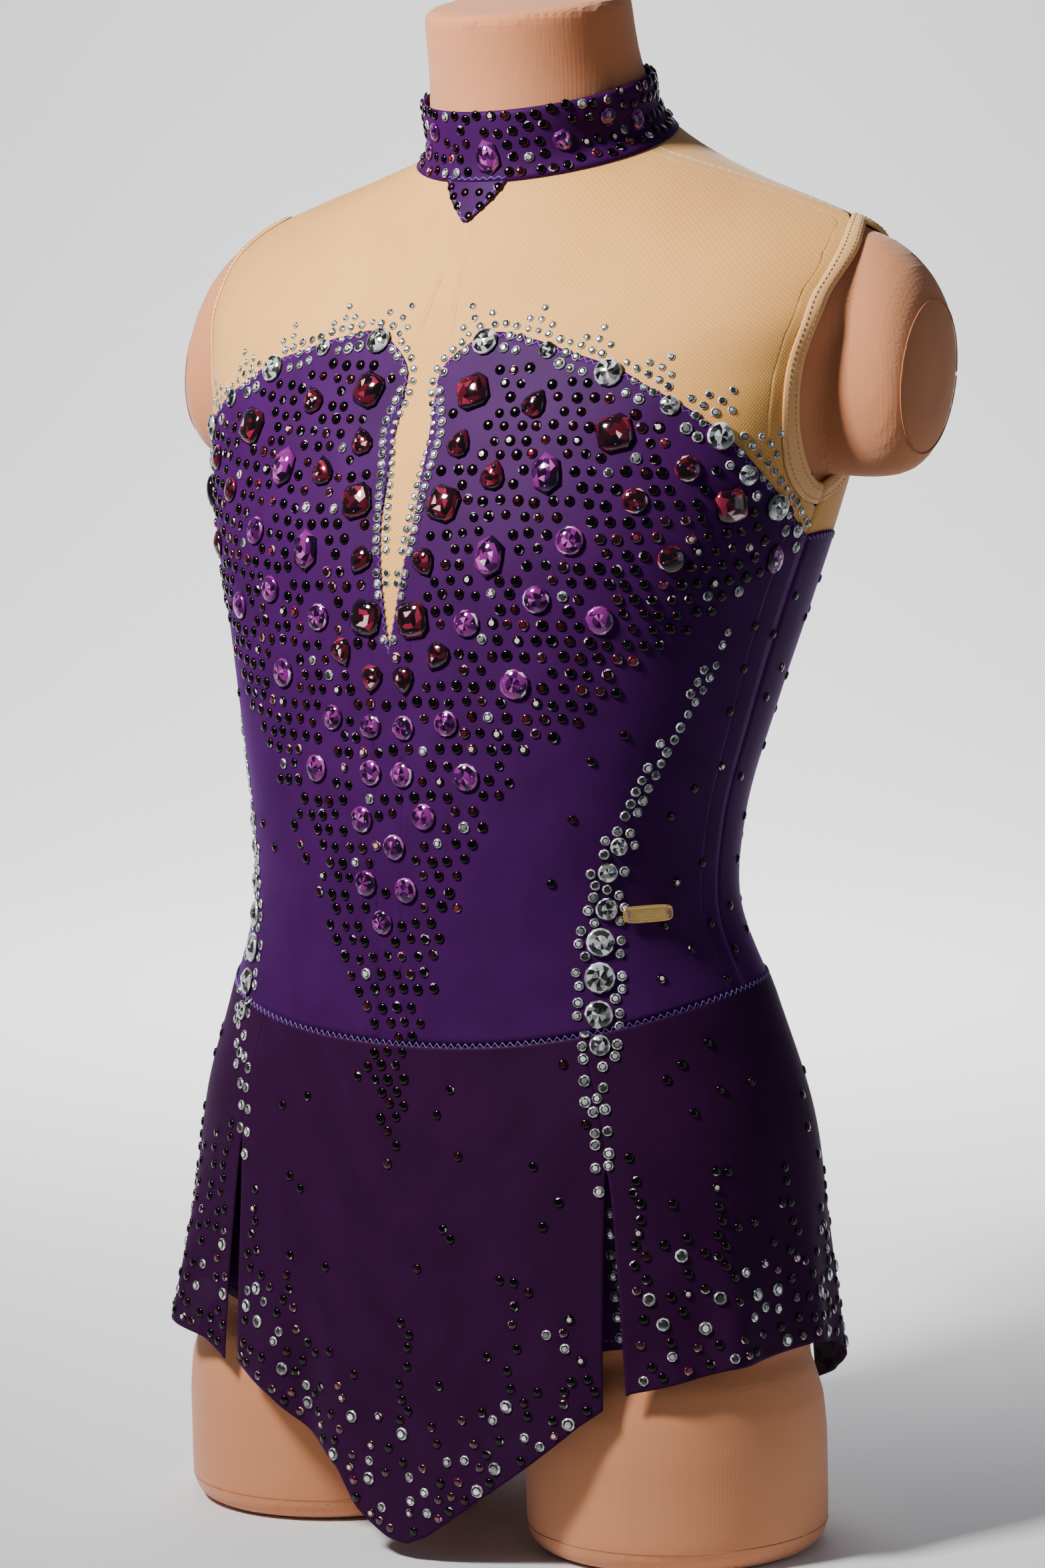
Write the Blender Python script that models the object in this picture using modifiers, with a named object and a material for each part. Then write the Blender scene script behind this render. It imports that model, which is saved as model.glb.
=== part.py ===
"""Rhythmic gymnastics leotard with a panelled skirt, worn by a limbless soft dress form.

The garment is cut from panels that share one body surface. Every panel is a cloth wall raised
outward from that surface, and the dress form is the same surface moved inward.
Angles go round the body from the centre front, positive towards the wearer's left (+X).
Heights v are measured along the body and match z on the flat parts. Tables are in millimetres.
"""
import bpy
import bmesh
import numpy as np
from mathutils import Matrix, Vector


def table(columns, *rows):
    """Rows of numbers with named columns: table(...)["v"] is the column v."""
    return np.array(list(rows), dtype=[(name, float) for name in columns.split()])


MM = 0.001
OBJECT_NAME = "gymnastics_leotard"

# Cloth walls and the clearances between them, in millimetres
LYCRA = 1.5
MESH = 1.1
BRIEF = 1.0
SKIRT_CLOTH = 1.0
BINDING = 1.6
SEAM_GAP = 0.5
LAYER_GAP = 0.5
SKIRT_GAP = 0.9
FORM_CLEARANCE = table("v gap", (73, 4.4), (205, 2.3), (252, 1.6), (450, 1.6), (505, 2.8), (590, 1.6))

# Shift of everything that puts the origin under the middle of the part's box
FRAME_SHIFT_Y = 7.5

# Body sections. A row is one ring: its three heights, half width, three depths and roundness
SECTION_COLUMNS = "v z_front z_side z_back half_width y_front y_side y_back power"
SECTIONS = table(
    SECTION_COLUMNS,
    (32,   49,  49,  49, 155, -27.2, -27, -26.8, 2.4),
    (40,   50,  50,  50, 156,  -49, -27,    7, 2.4),
    (50,   54,  54,  54, 158,  -70, -27,   33, 2.4),
    (60,   62,  62,  62, 160,  -85, -27,   51, 2.4),
    (73,   74,  74,  74, 162,  -95, -27,   63, 2.4),
    (100, 100, 100, 100, 165, -104, -26,   72, 2.4),
    (150, 150, 150, 150, 164, -111, -23,   79, 2.3),
    (205, 205, 205, 205, 158, -113, -20,   75, 2.3),
    (255, 248, 255, 262, 143, -111, -20,   62, 2.2),
    (305, 300, 305, 310, 125, -111, -22,   54, 2.2),
    (345, 340, 345, 350, 126, -111, -19,   62, 2.2),
    (395, 390, 395, 400, 136, -108, -10,   78, 2.3),
    (440, 434, 440, 446, 146, -105,   1,   95, 2.4),
    (485, 476, 485, 492, 159, -100,  10,  106, 2.4),
    (525, 515, 528, 533, 170,  -88,  20,  110, 2.4),
    (560, 545, 568, 565, 180,  -77,  28,  108, 2.3),
    (590, 572, 600, 592, 186,  -66,  34,  105, 2.1),
    (612, 594, 620, 612, 178,  -54,  42,  103, 1.9),
    (630, 614, 634, 630, 144,  -43,  44,  102, 1.8),
    (645, 630, 646, 650, 105,  -35,  41,  100, 1.9),
    (660, 645, 660, 675,  63,  -28,  32,   94, 2.0),
    (690, 678, 690, 700,  54,  -28,  25,   78, 2.0),
    (732, 724, 732, 742,  51,  -34,  17,   67, 2.0))

# Sections of the hanging skirt below the hip, where it leaves the body
HANGING = table(
    SECTION_COLUMNS,
    (0,     0,   0,   0, 173, -122, -25, 88, 2.3),
    (50,   50,  50,  50, 172, -121, -25, 85, 2.3),
    (100, 100, 100, 100, 169, -120, -24, 83, 2.3),
    (150, 150, 150, 150, 165, -117, -22, 80, 2.3))
HIP_V = 205
SKIRT_SECTIONS = np.concatenate([HANGING, SECTIONS[SECTIONS["v"] >= HIP_V]])
NORMAL_STEP = 0.5

# Seam lines across the body
WAIST_V_CENTRE_FRONT = 252
WAIST_RISE_TO_SIDE = 16
WAIST_V_CENTRE_BACK = 262
NECK_V = 659.6
COLLAR_V = (660.5, 675.0, 690.5)
COLLAR_COLUMNS = 33
BODICE_ROWS = 13
BACK_COLUMNS = 19

# Small pointed piece below the collar, from its tip up
COLLAR_POINT = table("v half_angle", (641.5, 0.9), (646, 4.0), (651, 7.8), (656, 11.8), (660, 15.4))
COLLAR_POINT_COLUMNS = 5

# Sweetheart edge of the front bodice with its centre slit, from the centre to the side seam
SWEETHEART = table(
    "phi v", (0, 436), (1.4, 480), (3.0, 540), (5.9, 588), (9.5, 594), (16, 590), (23, 582),
    (30, 574), (37, 562.5), (45, 551), (53, 539), (61.5, 526), (70, 512.5), (77.5, 501),
    (84, 490.5), (90, 480))
BACK_EDGE_DIP = 34

# Armhole from the underarm round the front to the shoulder tip: binding seam and open edge
ARMHOLE = table(
    "seam_phi seam_v edge_phi edge_v",
    (90.0, 494.0, 90.0, 502.0), (86.0, 497.3, 87.8, 504.6), (82.0, 502.5, 85.2, 509.0),
    (76.0, 514.0, 80.5, 519.0), (72.3, 526.5, 76.5, 530.0), (69.0, 541.0, 73.0, 543.0),
    (66.4, 557.5, 70.5, 558.0), (65.8, 577.0, 70.0, 577.0), (68.5, 597.0, 73.0, 595.0),
    (75.0, 610.8, 79.0, 606.8), (82.5, 617.3, 84.5, 613.2), (90.0, 620.5, 90.0, 616.5))
BACK_ARMHOLE_SPREAD = 1.35
BINDING_ACROSS = (0.1, 0.5, 1.0)
YOKE_SIDE_V = (480,) + tuple(ARMHOLE["seam_v"]) + (633, 646, NECK_V)

# Lower edge of the brief from the centre out: crotch strip, then the leg opening to the side
LEG = table(
    "phi v", (0, 32), (3.6, 32), (3.7, 41), (3.8, 49), (3.95, 57), (4.3, 66), (6.5, 79), (14, 92),
    (25, 101), (37, 106), (48, 109), (59, 111), (70, 112.5), (80, 114), (90, 115.5))
BRIEF_ROWS = 10
BRIEF_ROW_SPREAD = 1.5
BRIEF_T = 1 - (1 - np.linspace(0, 1, BRIEF_ROWS)) ** BRIEF_ROW_SPREAD

# Skirt panels: edge angles at the waist, opening of the slit at the hem, slit top
LEFT_SLIT_PHI = 40.0
RIGHT_SLIT_PHI = -34.0
BACK_SLIT_PHI = 139.0
SLIT_TOP_Z = 190
SLIT_BOTTOM_Z = 80
SLIT_OPENING = 2.4
SKIRT_HIP_ROWS = 3
SKIRT_HANG_ROWS = 7
SKIRT_COLUMNS = {"front": 19, "side": 20, "back": 17}
FRONT_HEM = table(
    "phi z", (-34, 81), (-24, 69), (-16, 55), (-8.5, 39), (-5, 22), (0, 9.5), (2.5, 8), (6, 13),
    (15.5, 34), (26, 54.5), (34.8, 72), (40, 80))
SIDE_HEM = table(
    "phi z", (34, 80), (41, 88), (52.5, 93), (64, 98), (79, 101), (90, 103), (105, 97), (120, 80),
    (139, 64))
BACK_TIP_Z = 14
BACK_CORNER_Z = 60

# Soft skirt folds. Depth is at the hem, positive outward; top is where the fold dies out
FOLDS = table(
    "phi width depth top",
    (-24, 6, 2.0, 150), (-14, 4, -5.0, 185), (9, 7, 2.5, 140), (27, 7, 3.0, 160),
    (52, 6, 3.0, 150), (68, 6, 7.0, 185), (92, 6, 6.0, 190), (112, 7, 4.0, 170),
    (129, 5, 2.0, 150), (152, 7, 4.0, 175), (171, 6, -3.0, 150),
    (-53, 9, 12.0, 190), (-73, 7, 7.0, 185), (-95, 6, 6.0, 170), (-118, 7, 6.0, 180),
    (-133, 4, 2.5, 140), (-157, 7, 4.5, 180), (-173, 5, 2.0, 140))
FOLD_GROWTH = 1.5

# Dress form: thigh stubs, shoulder caps and the slanted neck top
THIGH_CENTRE = (101, -28)
THIGH_PROFILE = table(
    "radius z", (0, 116), (42, 115), (57, 101), (66, 87), (70.5, 72), (72, 55), (72, 12),
    (70.3, 5.5), (66, 1.5), (60, 0), (0, 0))
THIGH_STEPS = 28
SCREW_MERGE = 0.00001
SHOULDER = table(
    "x y z depth height", (120, 27, 560, 26, 40), (165, 28, 562, 29, 45), (184, 31, 560, 33, 46),
    (201, 35, 557, 32, 41), (209, 36, 553, 25, 31), (213, 36, 550, 13, 17))
SHOULDER_POINTS = 18
FORM_V = (44, 51, 60, 73, 90, 115, 160, 198, 228, 252, 276, 298, 320, 342, 368, 400, 440, 470, 498,
          520, 543, 565, 585, 602, 612, 621, 633, 646, 655, 662, 672, 690, 728)
NECK_TOP_SCALE = 0.9
FORM_COLUMNS = 36

# Large sew-on stones raised from the bodice: share of its height, first column from the centre,
# how many stand in the row, and radius
LARGE_STONES = table(
    "height first count radius", (0.93, 4.7, 3, 7.0), (0.86, 5.6, 3, 6.5), (0.79, 4.5, 3, 7.0),
    (0.72, 5.4, 2, 6.5), (0.65, 4.0, 3, 7.0), (0.57, 3.8, 2, 6.5), (0.48, 2.8, 2, 6.5),
    (0.38, 3.2, 1, 6.0), (0.28, 2.1, 1, 6.0))
STONE_STEP = 2.1
STONE_SIDES = 6
STONE_SINK = 0.8
STONE_HEIGHT = 3.6
STONE_TABLE = 0.55

# Metal tag: plain bar with clipped corners and two sewing holes
TAG_SIZE = (25, 8, 1.2)
TAG_CORNER = 2.2
TAG_HOLE_RADIUS = 1.0
TAG_HOLE_OFFSET = 9.8
TAG_HOLE_SIDES = 10
TAG_PLACE = (64, 310)
TAG_TILT = 3
TAG_GAP = 0.9


def clear_scene():
    """Remove every object of the open file."""
    for item in list(bpy.data.objects):
        bpy.data.objects.remove(item)


def section_values(sections, v):
    """Section numbers at height v, on cubic Hermite curves through the table's rows."""
    knots = sections["v"]
    values = np.stack([sections[name] for name in sections.dtype.names[1:]], axis=-1)
    slopes = np.gradient(values, knots, axis=0)
    i = np.clip(np.searchsorted(knots, v, side="right") - 1, 0, len(knots) - 2)
    span = (knots[i + 1] - knots[i])[..., None]
    t = ((v - knots[i])[..., None]) / span
    start, end = values[i], values[i + 1]
    return ((2 * t**3 - 3 * t**2 + 1) * start + (t**3 - 2 * t**2 + t) * span * slopes[i]
            + (3 * t**2 - 2 * t**3) * end + (t**3 - t**2) * span * slopes[i + 1])


def ring_points(sections, phi, v):
    """Points of the body at angle phi (degrees) and height v: superellipse rings."""
    phi, v = np.broadcast_arrays(np.radians(phi), np.asarray(v, float))
    row = section_values(sections, v)
    z_front, z_side, z_back, half_width, y_front, y_side, y_back, power = np.moveaxis(row, -1, 0)
    sine, cosine = np.sin(phi), np.cos(phi)
    depth = np.abs(cosine) ** (2 / power)
    x = half_width * np.sign(sine) * np.abs(sine) ** (2 / power)
    y = y_side + np.where(cosine > 0, y_front - y_side, y_back - y_side) * depth
    z = z_side + np.where(cosine > 0, z_front - z_side, z_back - z_side) * depth
    return np.stack([x, y, z], axis=-1)


def surface(phi, v, offset=0.0, sections=SECTIONS):
    """Body points moved outward by offset, along the normal of the smooth body."""
    phi, v = np.broadcast_arrays(np.asarray(phi, float), np.asarray(v, float))
    low, high = sections["v"][0], sections["v"][-1]
    across = (ring_points(sections, phi + NORMAL_STEP, v)
              - ring_points(sections, phi - NORMAL_STEP, v))
    up = (ring_points(sections, phi, np.minimum(v + NORMAL_STEP, high))
          - ring_points(sections, phi, np.maximum(v - NORMAL_STEP, low)))
    normal = np.cross(across, up)
    normal /= np.linalg.norm(normal, axis=-1, keepdims=True)
    return ring_points(sections, phi, v) + normal * np.asarray(offset, float)[..., None]


def principled(name, colour, roughness, metallic=0.0):
    """A Principled material with one colour."""
    material = bpy.data.materials.new(name)
    material.use_nodes = True
    shader = material.node_tree.nodes["Principled BSDF"]
    shader.inputs["Base Color"].default_value = (*colour, 1.0)
    shader.inputs["Roughness"].default_value = roughness
    shader.inputs["Metallic"].default_value = metallic
    material.diffuse_color = (*colour, 1.0)
    return material


def new_object(name, mesh, collection, material=None):
    """Put a mesh in the collection as a named object with its material, shaded smooth."""
    item = bpy.data.objects.new(name, mesh)
    collection.objects.link(item)
    if material is not None:
        mesh.materials.append(material)
    mesh.shade_smooth()
    return item


def grid_mesh(name, points, cyclic=False):
    """Open mesh through a grid of points: rows run upward, columns follow the angle."""
    rows, columns = points.shape[:2]
    index = np.arange(rows * columns).reshape(rows, columns)
    if cyclic:
        index = np.hstack([index, index[:, :1]])
    faces = np.stack([index[:-1, :-1], index[:-1, 1:], index[1:, 1:], index[1:, :-1]], axis=-1)
    mesh = bpy.data.meshes.new(name)
    mesh.from_pydata((points.reshape(-1, 3) * MM).tolist(), [], faces.reshape(-1, 4).tolist())
    return mesh


def trim(points, sides="bottom top start end"):
    """Draw the named edges of a panel in by half the seam gap, square to each edge."""
    trimmed = points.copy()
    views = {"bottom": trimmed, "top": trimmed[::-1],
             "start": trimmed.swapaxes(0, 1), "end": trimmed.swapaxes(0, 1)[::-1]}
    for side in sides.split():
        view = views[side]
        along = np.gradient(view[0], axis=0)
        along /= np.linalg.norm(along, axis=-1, keepdims=True)
        inward = view[1] - view[0]
        inward -= along * (inward * along).sum(axis=-1, keepdims=True)
        view[0] += inward / np.linalg.norm(inward, axis=-1, keepdims=True) * SEAM_GAP / 2
    return trimmed


def cloth_panel(name, points, thickness, collection, material, cyclic=False):
    """A cloth wall: the panel's surface, thickened outward by Solidify."""
    item = new_object(name, grid_mesh(name, points, cyclic), collection, material)
    wall = item.modifiers.new("cloth", "SOLIDIFY")
    wall.thickness = thickness * MM
    wall.offset = 1.0
    return item


def loft(name, rings, collection, material=None):
    """Closed body through rings of points, with a flat face on the first and last ring."""
    item = new_object(name, grid_mesh(name, rings, cyclic=True), collection, material)
    shape = bmesh.new()
    shape.from_mesh(item.data)
    bmesh.ops.holes_fill(shape, edges=[edge for edge in shape.edges if edge.is_boundary])
    bmesh.ops.recalc_face_normals(shape, faces=shape.faces)
    shape.to_mesh(item.data)
    shape.free()
    return item


def join_to(item, other, operation="UNION"):
    """Boolean of another body on an object; the other one stays as a hidden wire guide."""
    other.hide_render = True
    other.display_type = "WIRE"
    cut = item.modifiers.new(other.name, "BOOLEAN")
    cut.operation = operation
    cut.solver = "EXACT"
    cut.object = other


def armhole_half_angle(v):
    """Half angle of the front panels at height v: 90 but where the armhole takes some."""
    return np.interp(v, ARMHOLE["seam_v"], ARMHOLE["seam_phi"], left=90.0, right=90.0)


def front_phi(u, v):
    """Angle of a front panel's column u (0 centre, 1 side) at height v."""
    return 90 * u * (1 - (1 - armhole_half_angle(v) / 90) * np.abs(u))


def column_of(phi, v):
    """The column u whose angle at height v is phi, from the quadratic above."""
    loss = np.maximum(1 - armhole_half_angle(v) / 90, 1e-9)
    return (1 - np.sqrt(1 - 4 * loss * phi / 90)) / (2 * loss)


def back_phi(w, v):
    """Angle of a back panel's column w (0 centre, 1 side), with its own armhole."""
    loss = (1 - armhole_half_angle(v) / 90) * BACK_ARMHOLE_SPREAD
    return 180 + 90 * w * (1 - loss * np.abs(w))


def waist_v(phi):
    """Height of the waist seam: lowest at the centre front, highest at the sides."""
    side = WAIST_V_CENTRE_FRONT + WAIST_RISE_TO_SIDE
    centre = np.where(np.cos(np.radians(phi)) > 0, WAIST_V_CENTRE_FRONT, WAIST_V_CENTRE_BACK)
    return centre + (side - centre) * np.sin(np.radians(phi)) ** 2


def back_edge_v(w):
    """Height of the back bodice's top edge: a shallow dip between the side seams."""
    return SWEETHEART["v"][-1] - BACK_EDGE_DIP * np.cos(np.radians(90 * w)) ** 2


def mirrored(values, sign=-1):
    """A half row from the centre outward, continued to the other side."""
    return np.concatenate([sign * values[:0:-1], values])


FRONT_U = mirrored(column_of(SWEETHEART["phi"], SWEETHEART["v"]))
FRONT_EDGE_V = mirrored(SWEETHEART["v"], sign=1)
BACK_W = np.linspace(-1, 1, BACK_COLUMNS)
BODICE_T = np.linspace(0, 1, BODICE_ROWS)[:, None]
YOKE_T = ((np.array(YOKE_SIDE_V) - YOKE_SIDE_V[0]) / (NECK_V - YOKE_SIDE_V[0]))[:, None]


def front_bodice_points():
    """Front bodice from the waist seam to the sweetheart edge."""
    v = waist_v(90 * FRONT_U) * (1 - BODICE_T) + FRONT_EDGE_V * BODICE_T
    return surface(front_phi(FRONT_U, v), v)


def front_yoke_points():
    """Front yoke from the sweetheart edge, the slit included, to the neck."""
    v = FRONT_EDGE_V + (NECK_V - FRONT_EDGE_V) * YOKE_T
    return surface(front_phi(FRONT_U, v), v)


def back_bodice_points():
    """Back bodice from the waist seam to its shallow top edge."""
    v = waist_v(180 + 90 * BACK_W) * (1 - BODICE_T) + back_edge_v(BACK_W) * BODICE_T
    return surface(back_phi(BACK_W, v), v)


def back_yoke_points(side):
    """Half of the back yoke, side +1 for the wearer's left; it meets the other at the centre."""
    w = BACK_W[BACK_W <= 0] if side > 0 else BACK_W[BACK_W >= 0]
    v = back_edge_v(w) + (NECK_V - back_edge_v(w)) * YOKE_T
    return surface(back_phi(w, v), v)


def binding_points(side):
    """Binding round an armhole: stations up the front and down the back, seam to open edge."""
    down_back = ARMHOLE[-2:0:-1].copy()
    for name in ("seam_phi", "edge_phi"):
        down_back[name] = 90 + (90 - down_back[name]) * BACK_ARMHOLE_SPREAD
    loop = np.concatenate([ARMHOLE, down_back])
    across = np.array(BINDING_ACROSS)[:, None]
    phi = loop["seam_phi"] * (1 - across) + loop["edge_phi"] * across
    v = loop["seam_v"] * (1 - across) + loop["edge_v"] * across
    points = surface(side * phi, v)
    return points[:, ::-1] if side > 0 else points


def brief_v(phi, t):
    """Height on the brief: t runs from the waist seam to the leg opening or crotch seam."""
    from_centre = np.degrees(np.arccos(np.abs(np.cos(np.radians(phi)))))
    return waist_v(phi) * (1 - t) + np.interp(from_centre, LEG["phi"], LEG["v"]) * t


def brief_points(front):
    """Front or back of the brief, with its half of the strip between the legs."""
    phi = mirrored(LEG["phi"]) + (0 if front else 180)
    return surface(phi, brief_v(phi, BRIEF_T[::-1, None]))


def hem_z(phi, panel):
    """Height of the skirt's hem: points at the centre front and back, risen at the sides."""
    if panel == "front":
        return np.interp(phi, FRONT_HEM["phi"], FRONT_HEM["z"])
    if panel in ("left", "right"):
        return np.interp(np.abs(phi), SIDE_HEM["phi"], SIDE_HEM["z"])
    share = np.sin(np.radians(np.abs(180 - phi))) / np.sin(np.radians(180 - BACK_SLIT_PHI))
    return BACK_TIP_Z + (BACK_CORNER_Z - BACK_TIP_Z) * share


def fold_depth(phi, v, hem):
    """Outward shift of the skirt by its soft folds, full at the hem and none at their tops."""
    turned = (phi + 180) % 360 - 180
    total = np.zeros(np.broadcast_shapes(phi.shape, v.shape))
    for fold in FOLDS:
        top = fold["top"]
        distance = (turned - fold["phi"] + 180) % 360 - 180
        growth = np.clip((top - v) / (top - hem), 0, 1) ** FOLD_GROWTH
        total = total + fold["depth"] * growth * np.exp(-(distance / fold["width"]) ** 2)
    return total


def skirt_points(panel, start, end):
    """Skirt panel from angle start to end, from the waist seam to its hem, hanging in folds."""
    columns = SKIRT_COLUMNS["side" if panel in ("left", "right") else panel]
    across = np.linspace(0, 1, columns)
    base = start + (end - start) * across
    hem = hem_z(base, panel)
    on_hip = brief_v(base, BRIEF_T[SKIRT_HIP_ROWS::-1, None])
    down = np.linspace(1, 0, SKIRT_HANG_ROWS, endpoint=False)[:, None]
    v = np.vstack([hem * down + on_hip[0] * (1 - down), on_hip])
    opening = SLIT_OPENING * np.clip((SLIT_TOP_Z - v) / (SLIT_TOP_Z - SLIT_BOTTOM_Z), 0, 1)
    phi = base + opening * (1 - 2 * across)
    offset = BRIEF + SKIRT_GAP + fold_depth(phi, v, hem)
    return surface(phi, v, offset, SKIRT_SECTIONS)


def collar_points():
    """Stand collar round the neck with its ends meeting at the centre back."""
    phi = np.linspace(-180, 180, COLLAR_COLUMNS)
    return surface(phi, np.array(COLLAR_V)[:, None])


def collar_point_points():
    """Small pointed piece below the collar, on the front yoke."""
    u = np.linspace(-1, 1, COLLAR_POINT_COLUMNS)
    phi = COLLAR_POINT["half_angle"][:, None] * u
    return surface(phi, COLLAR_POINT["v"][:, None], MESH + LAYER_GAP)


def panel_spot(points, row, column):
    """Point and outward direction on a panel's faces at fractional row and column numbers."""
    i, j = int(row), int(column)
    s, t = row - i, column - j
    low = points[i, j] * (1 - t) + points[i, j + 1] * t
    high = points[i + 1, j] * (1 - t) + points[i + 1, j + 1] * t
    across = points[i, j + 1] - points[i, j] + points[i + 1, j + 1] - points[i + 1, j]
    outward = np.cross(across, high - low)
    return low * (1 - s) + high * s, outward / np.linalg.norm(outward)


def add_stones(bodice, points, guides):
    """Raise the large sew-on stones from the front bodice, mirrored about the centre."""
    mesh = bpy.data.meshes.new("large_stones")
    shape = bmesh.new()
    middle = len(SWEETHEART) - 1
    depth = STONE_HEIGHT + STONE_SINK
    for row in LARGE_STONES:
        height = row["height"] * (len(points) - 1)
        for place in row["first"] + STONE_STEP * np.arange(row["count"]):
            for side in (-1, 1):
                spot, outward = panel_spot(points, height, middle + side * place)
                centre = Vector(spot + outward * (LYCRA - STONE_SINK + depth / 2)) * MM
                turn = Vector(outward).to_track_quat("Z", "Y").to_matrix().to_4x4()
                bmesh.ops.create_cone(shape, cap_ends=True, segments=STONE_SIDES,
                                      radius1=row["radius"] * MM,
                                      radius2=row["radius"] * STONE_TABLE * MM, depth=depth * MM,
                                      matrix=Matrix.Translation(centre) @ turn)
    shape.to_mesh(mesh)
    shape.free()
    join_to(bodice, new_object("large_stones", mesh, guides))


def form_body(parts, guides, material):
    """Dress form: torso with neck, joined with two thigh stubs and two shoulder caps."""
    phi = np.linspace(-180, 180, FORM_COLUMNS, endpoint=False)
    v = np.array(FORM_V)[:, None]
    rings = surface(phi, v, -np.interp(v, FORM_CLEARANCE["v"], FORM_CLEARANCE["gap"]))
    top = surface(phi, SECTIONS["v"][-1], -FORM_CLEARANCE["gap"][-1])
    middle = top.mean(axis=0)
    top = middle + (top - middle) * NECK_TOP_SCALE
    form = loft("dress_form", np.vstack([rings, top[None]]), parts, material)
    for side, name in ((1, "left"), (-1, "right")):
        join_to(form, thigh_stub("thigh_" + name, side, guides))
        join_to(form, shoulder_cap("shoulder_" + name, side, guides))
    return form


def thigh_stub(name, side, guides):
    """Turned thigh stub with a flat underside and a rounded rim, from a Screw profile."""
    mesh = bpy.data.meshes.new(name)
    profile = [(radius * MM, 0.0, z * MM) for radius, z in THIGH_PROFILE]
    mesh.from_pydata(profile, [(i, i + 1) for i in range(len(profile) - 1)], [])
    stub = new_object(name, mesh, guides)
    stub.location = (side * THIGH_CENTRE[0] * MM, THIGH_CENTRE[1] * MM, 0)
    turn = stub.modifiers.new("turned", "SCREW")
    turn.steps = turn.render_steps = THIGH_STEPS
    turn.use_merge_vertices = True
    turn.merge_threshold = SCREW_MERGE
    return stub


def shoulder_cap(name, side, guides):
    """Rounded shoulder cap through ellipses that stand across the X axis."""
    angle = np.linspace(0, 2 * np.pi, SHOULDER_POINTS, endpoint=False)
    rings = [np.stack([np.full(SHOULDER_POINTS, side * x), y + depth * np.cos(angle),
                       z + height * np.sin(angle)], axis=-1)
             for x, y, z, depth, height in SHOULDER.tolist()]
    return loft(name, np.array(rings), guides)


def tag_plate(parts, guides, material):
    """Plain metal bar with clipped corners and two holes, standing just off the bodice."""
    length, width, thick = TAG_SIZE
    outline = [(sx * (length / 2 - cx), sy * (width / 2 - cy))
               for sx, sy, cx, cy in ((1, 1, 0, TAG_CORNER), (1, 1, TAG_CORNER, 0),
                                      (-1, 1, TAG_CORNER, 0), (-1, 1, 0, TAG_CORNER),
                                      (-1, -1, 0, TAG_CORNER), (-1, -1, TAG_CORNER, 0),
                                      (1, -1, TAG_CORNER, 0), (1, -1, 0, TAG_CORNER))]
    rings = np.array([[(x, y, z) for x, y in outline] for z in (0, thick)])
    tag = loft("tag_plate", rings, parts, material)
    spot = Vector(surface(*TAG_PLACE, LYCRA + TAG_GAP)) * MM
    outward = Vector(surface(*TAG_PLACE, 1) - surface(*TAG_PLACE, 0))
    phi, v = TAG_PLACE
    across = Vector(surface(phi + 1, v) - surface(phi - 1, v)).normalized()
    turn = Matrix((across, outward.cross(across), outward)).transposed().to_4x4()
    place = Matrix.Translation(spot) @ turn @ Matrix.Rotation(np.radians(-TAG_TILT), 4, "Z")
    tag.matrix_world = place
    for side in (-1, 1):
        shape = bmesh.new()
        bmesh.ops.create_cone(shape, cap_ends=True, segments=TAG_HOLE_SIDES,
                              radius1=TAG_HOLE_RADIUS * MM, radius2=TAG_HOLE_RADIUS * MM,
                              depth=4 * thick * MM,
                              matrix=Matrix.Translation((side * TAG_HOLE_OFFSET * MM, 0, 0)))
        mesh = bpy.data.meshes.new("tag_hole")
        shape.to_mesh(mesh)
        shape.free()
        hole = new_object("tag_hole", mesh, guides)
        hole.matrix_world = place
        join_to(tag, hole, "DIFFERENCE")
    return tag


clear_scene()
parts = bpy.data.collections.new(OBJECT_NAME)
guides = bpy.data.collections.new("cutters")
bpy.context.scene.collection.children.link(parts)
bpy.context.scene.collection.children.link(guides)

jersey = principled("form_jersey", (0.55, 0.30, 0.17), 0.85)
purple = principled("purple_lycra", (0.10, 0.023, 0.22), 0.5)
nude = principled("nude_mesh", (0.77, 0.56, 0.34), 0.8)
dark = principled("skirt_mesh", (0.035, 0.006, 0.07), 0.6)
edging = principled("nude_binding", (0.69, 0.49, 0.28), 0.75)
brass = principled("tag_brass", (0.34, 0.20, 0.06), 0.35, 1.0)

form_body(parts, guides, jersey)
bodice_points = trim(front_bodice_points())
add_stones(cloth_panel("front_bodice", bodice_points, LYCRA, parts, purple), bodice_points, guides)
cloth_panel("back_bodice", trim(back_bodice_points()), LYCRA, parts, purple)
cloth_panel("front_yoke", trim(front_yoke_points()), MESH, parts, nude)
cloth_panel("back_yoke_left", trim(back_yoke_points(1)), MESH, parts, nude)
cloth_panel("back_yoke_right", trim(back_yoke_points(-1)), MESH, parts, nude)
cloth_panel("armhole_binding_left", binding_points(1), BINDING, parts, edging, cyclic=True)
cloth_panel("armhole_binding_right", binding_points(-1), BINDING, parts, edging, cyclic=True)
cloth_panel("collar", trim(collar_points()), LYCRA, parts, purple)
cloth_panel("collar_point", collar_point_points(), LYCRA, parts, purple)
cloth_panel("brief_front", trim(brief_points(True)), BRIEF, parts, purple)
cloth_panel("brief_back", trim(brief_points(False)), BRIEF, parts, purple)
for panel, start, end in (("front", RIGHT_SLIT_PHI, LEFT_SLIT_PHI),
                          ("left", LEFT_SLIT_PHI, BACK_SLIT_PHI),
                          ("right", -BACK_SLIT_PHI, RIGHT_SLIT_PHI),
                          ("back", BACK_SLIT_PHI, 360 - BACK_SLIT_PHI)):
    cloth_panel("skirt_" + panel, trim(skirt_points(panel, start, end)), SKIRT_CLOTH, parts, dark)
tag_plate(parts, guides, brass)

for item in list(parts.objects) + list(guides.objects):
    item.location.y += FRAME_SHIFT_Y * MM
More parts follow.
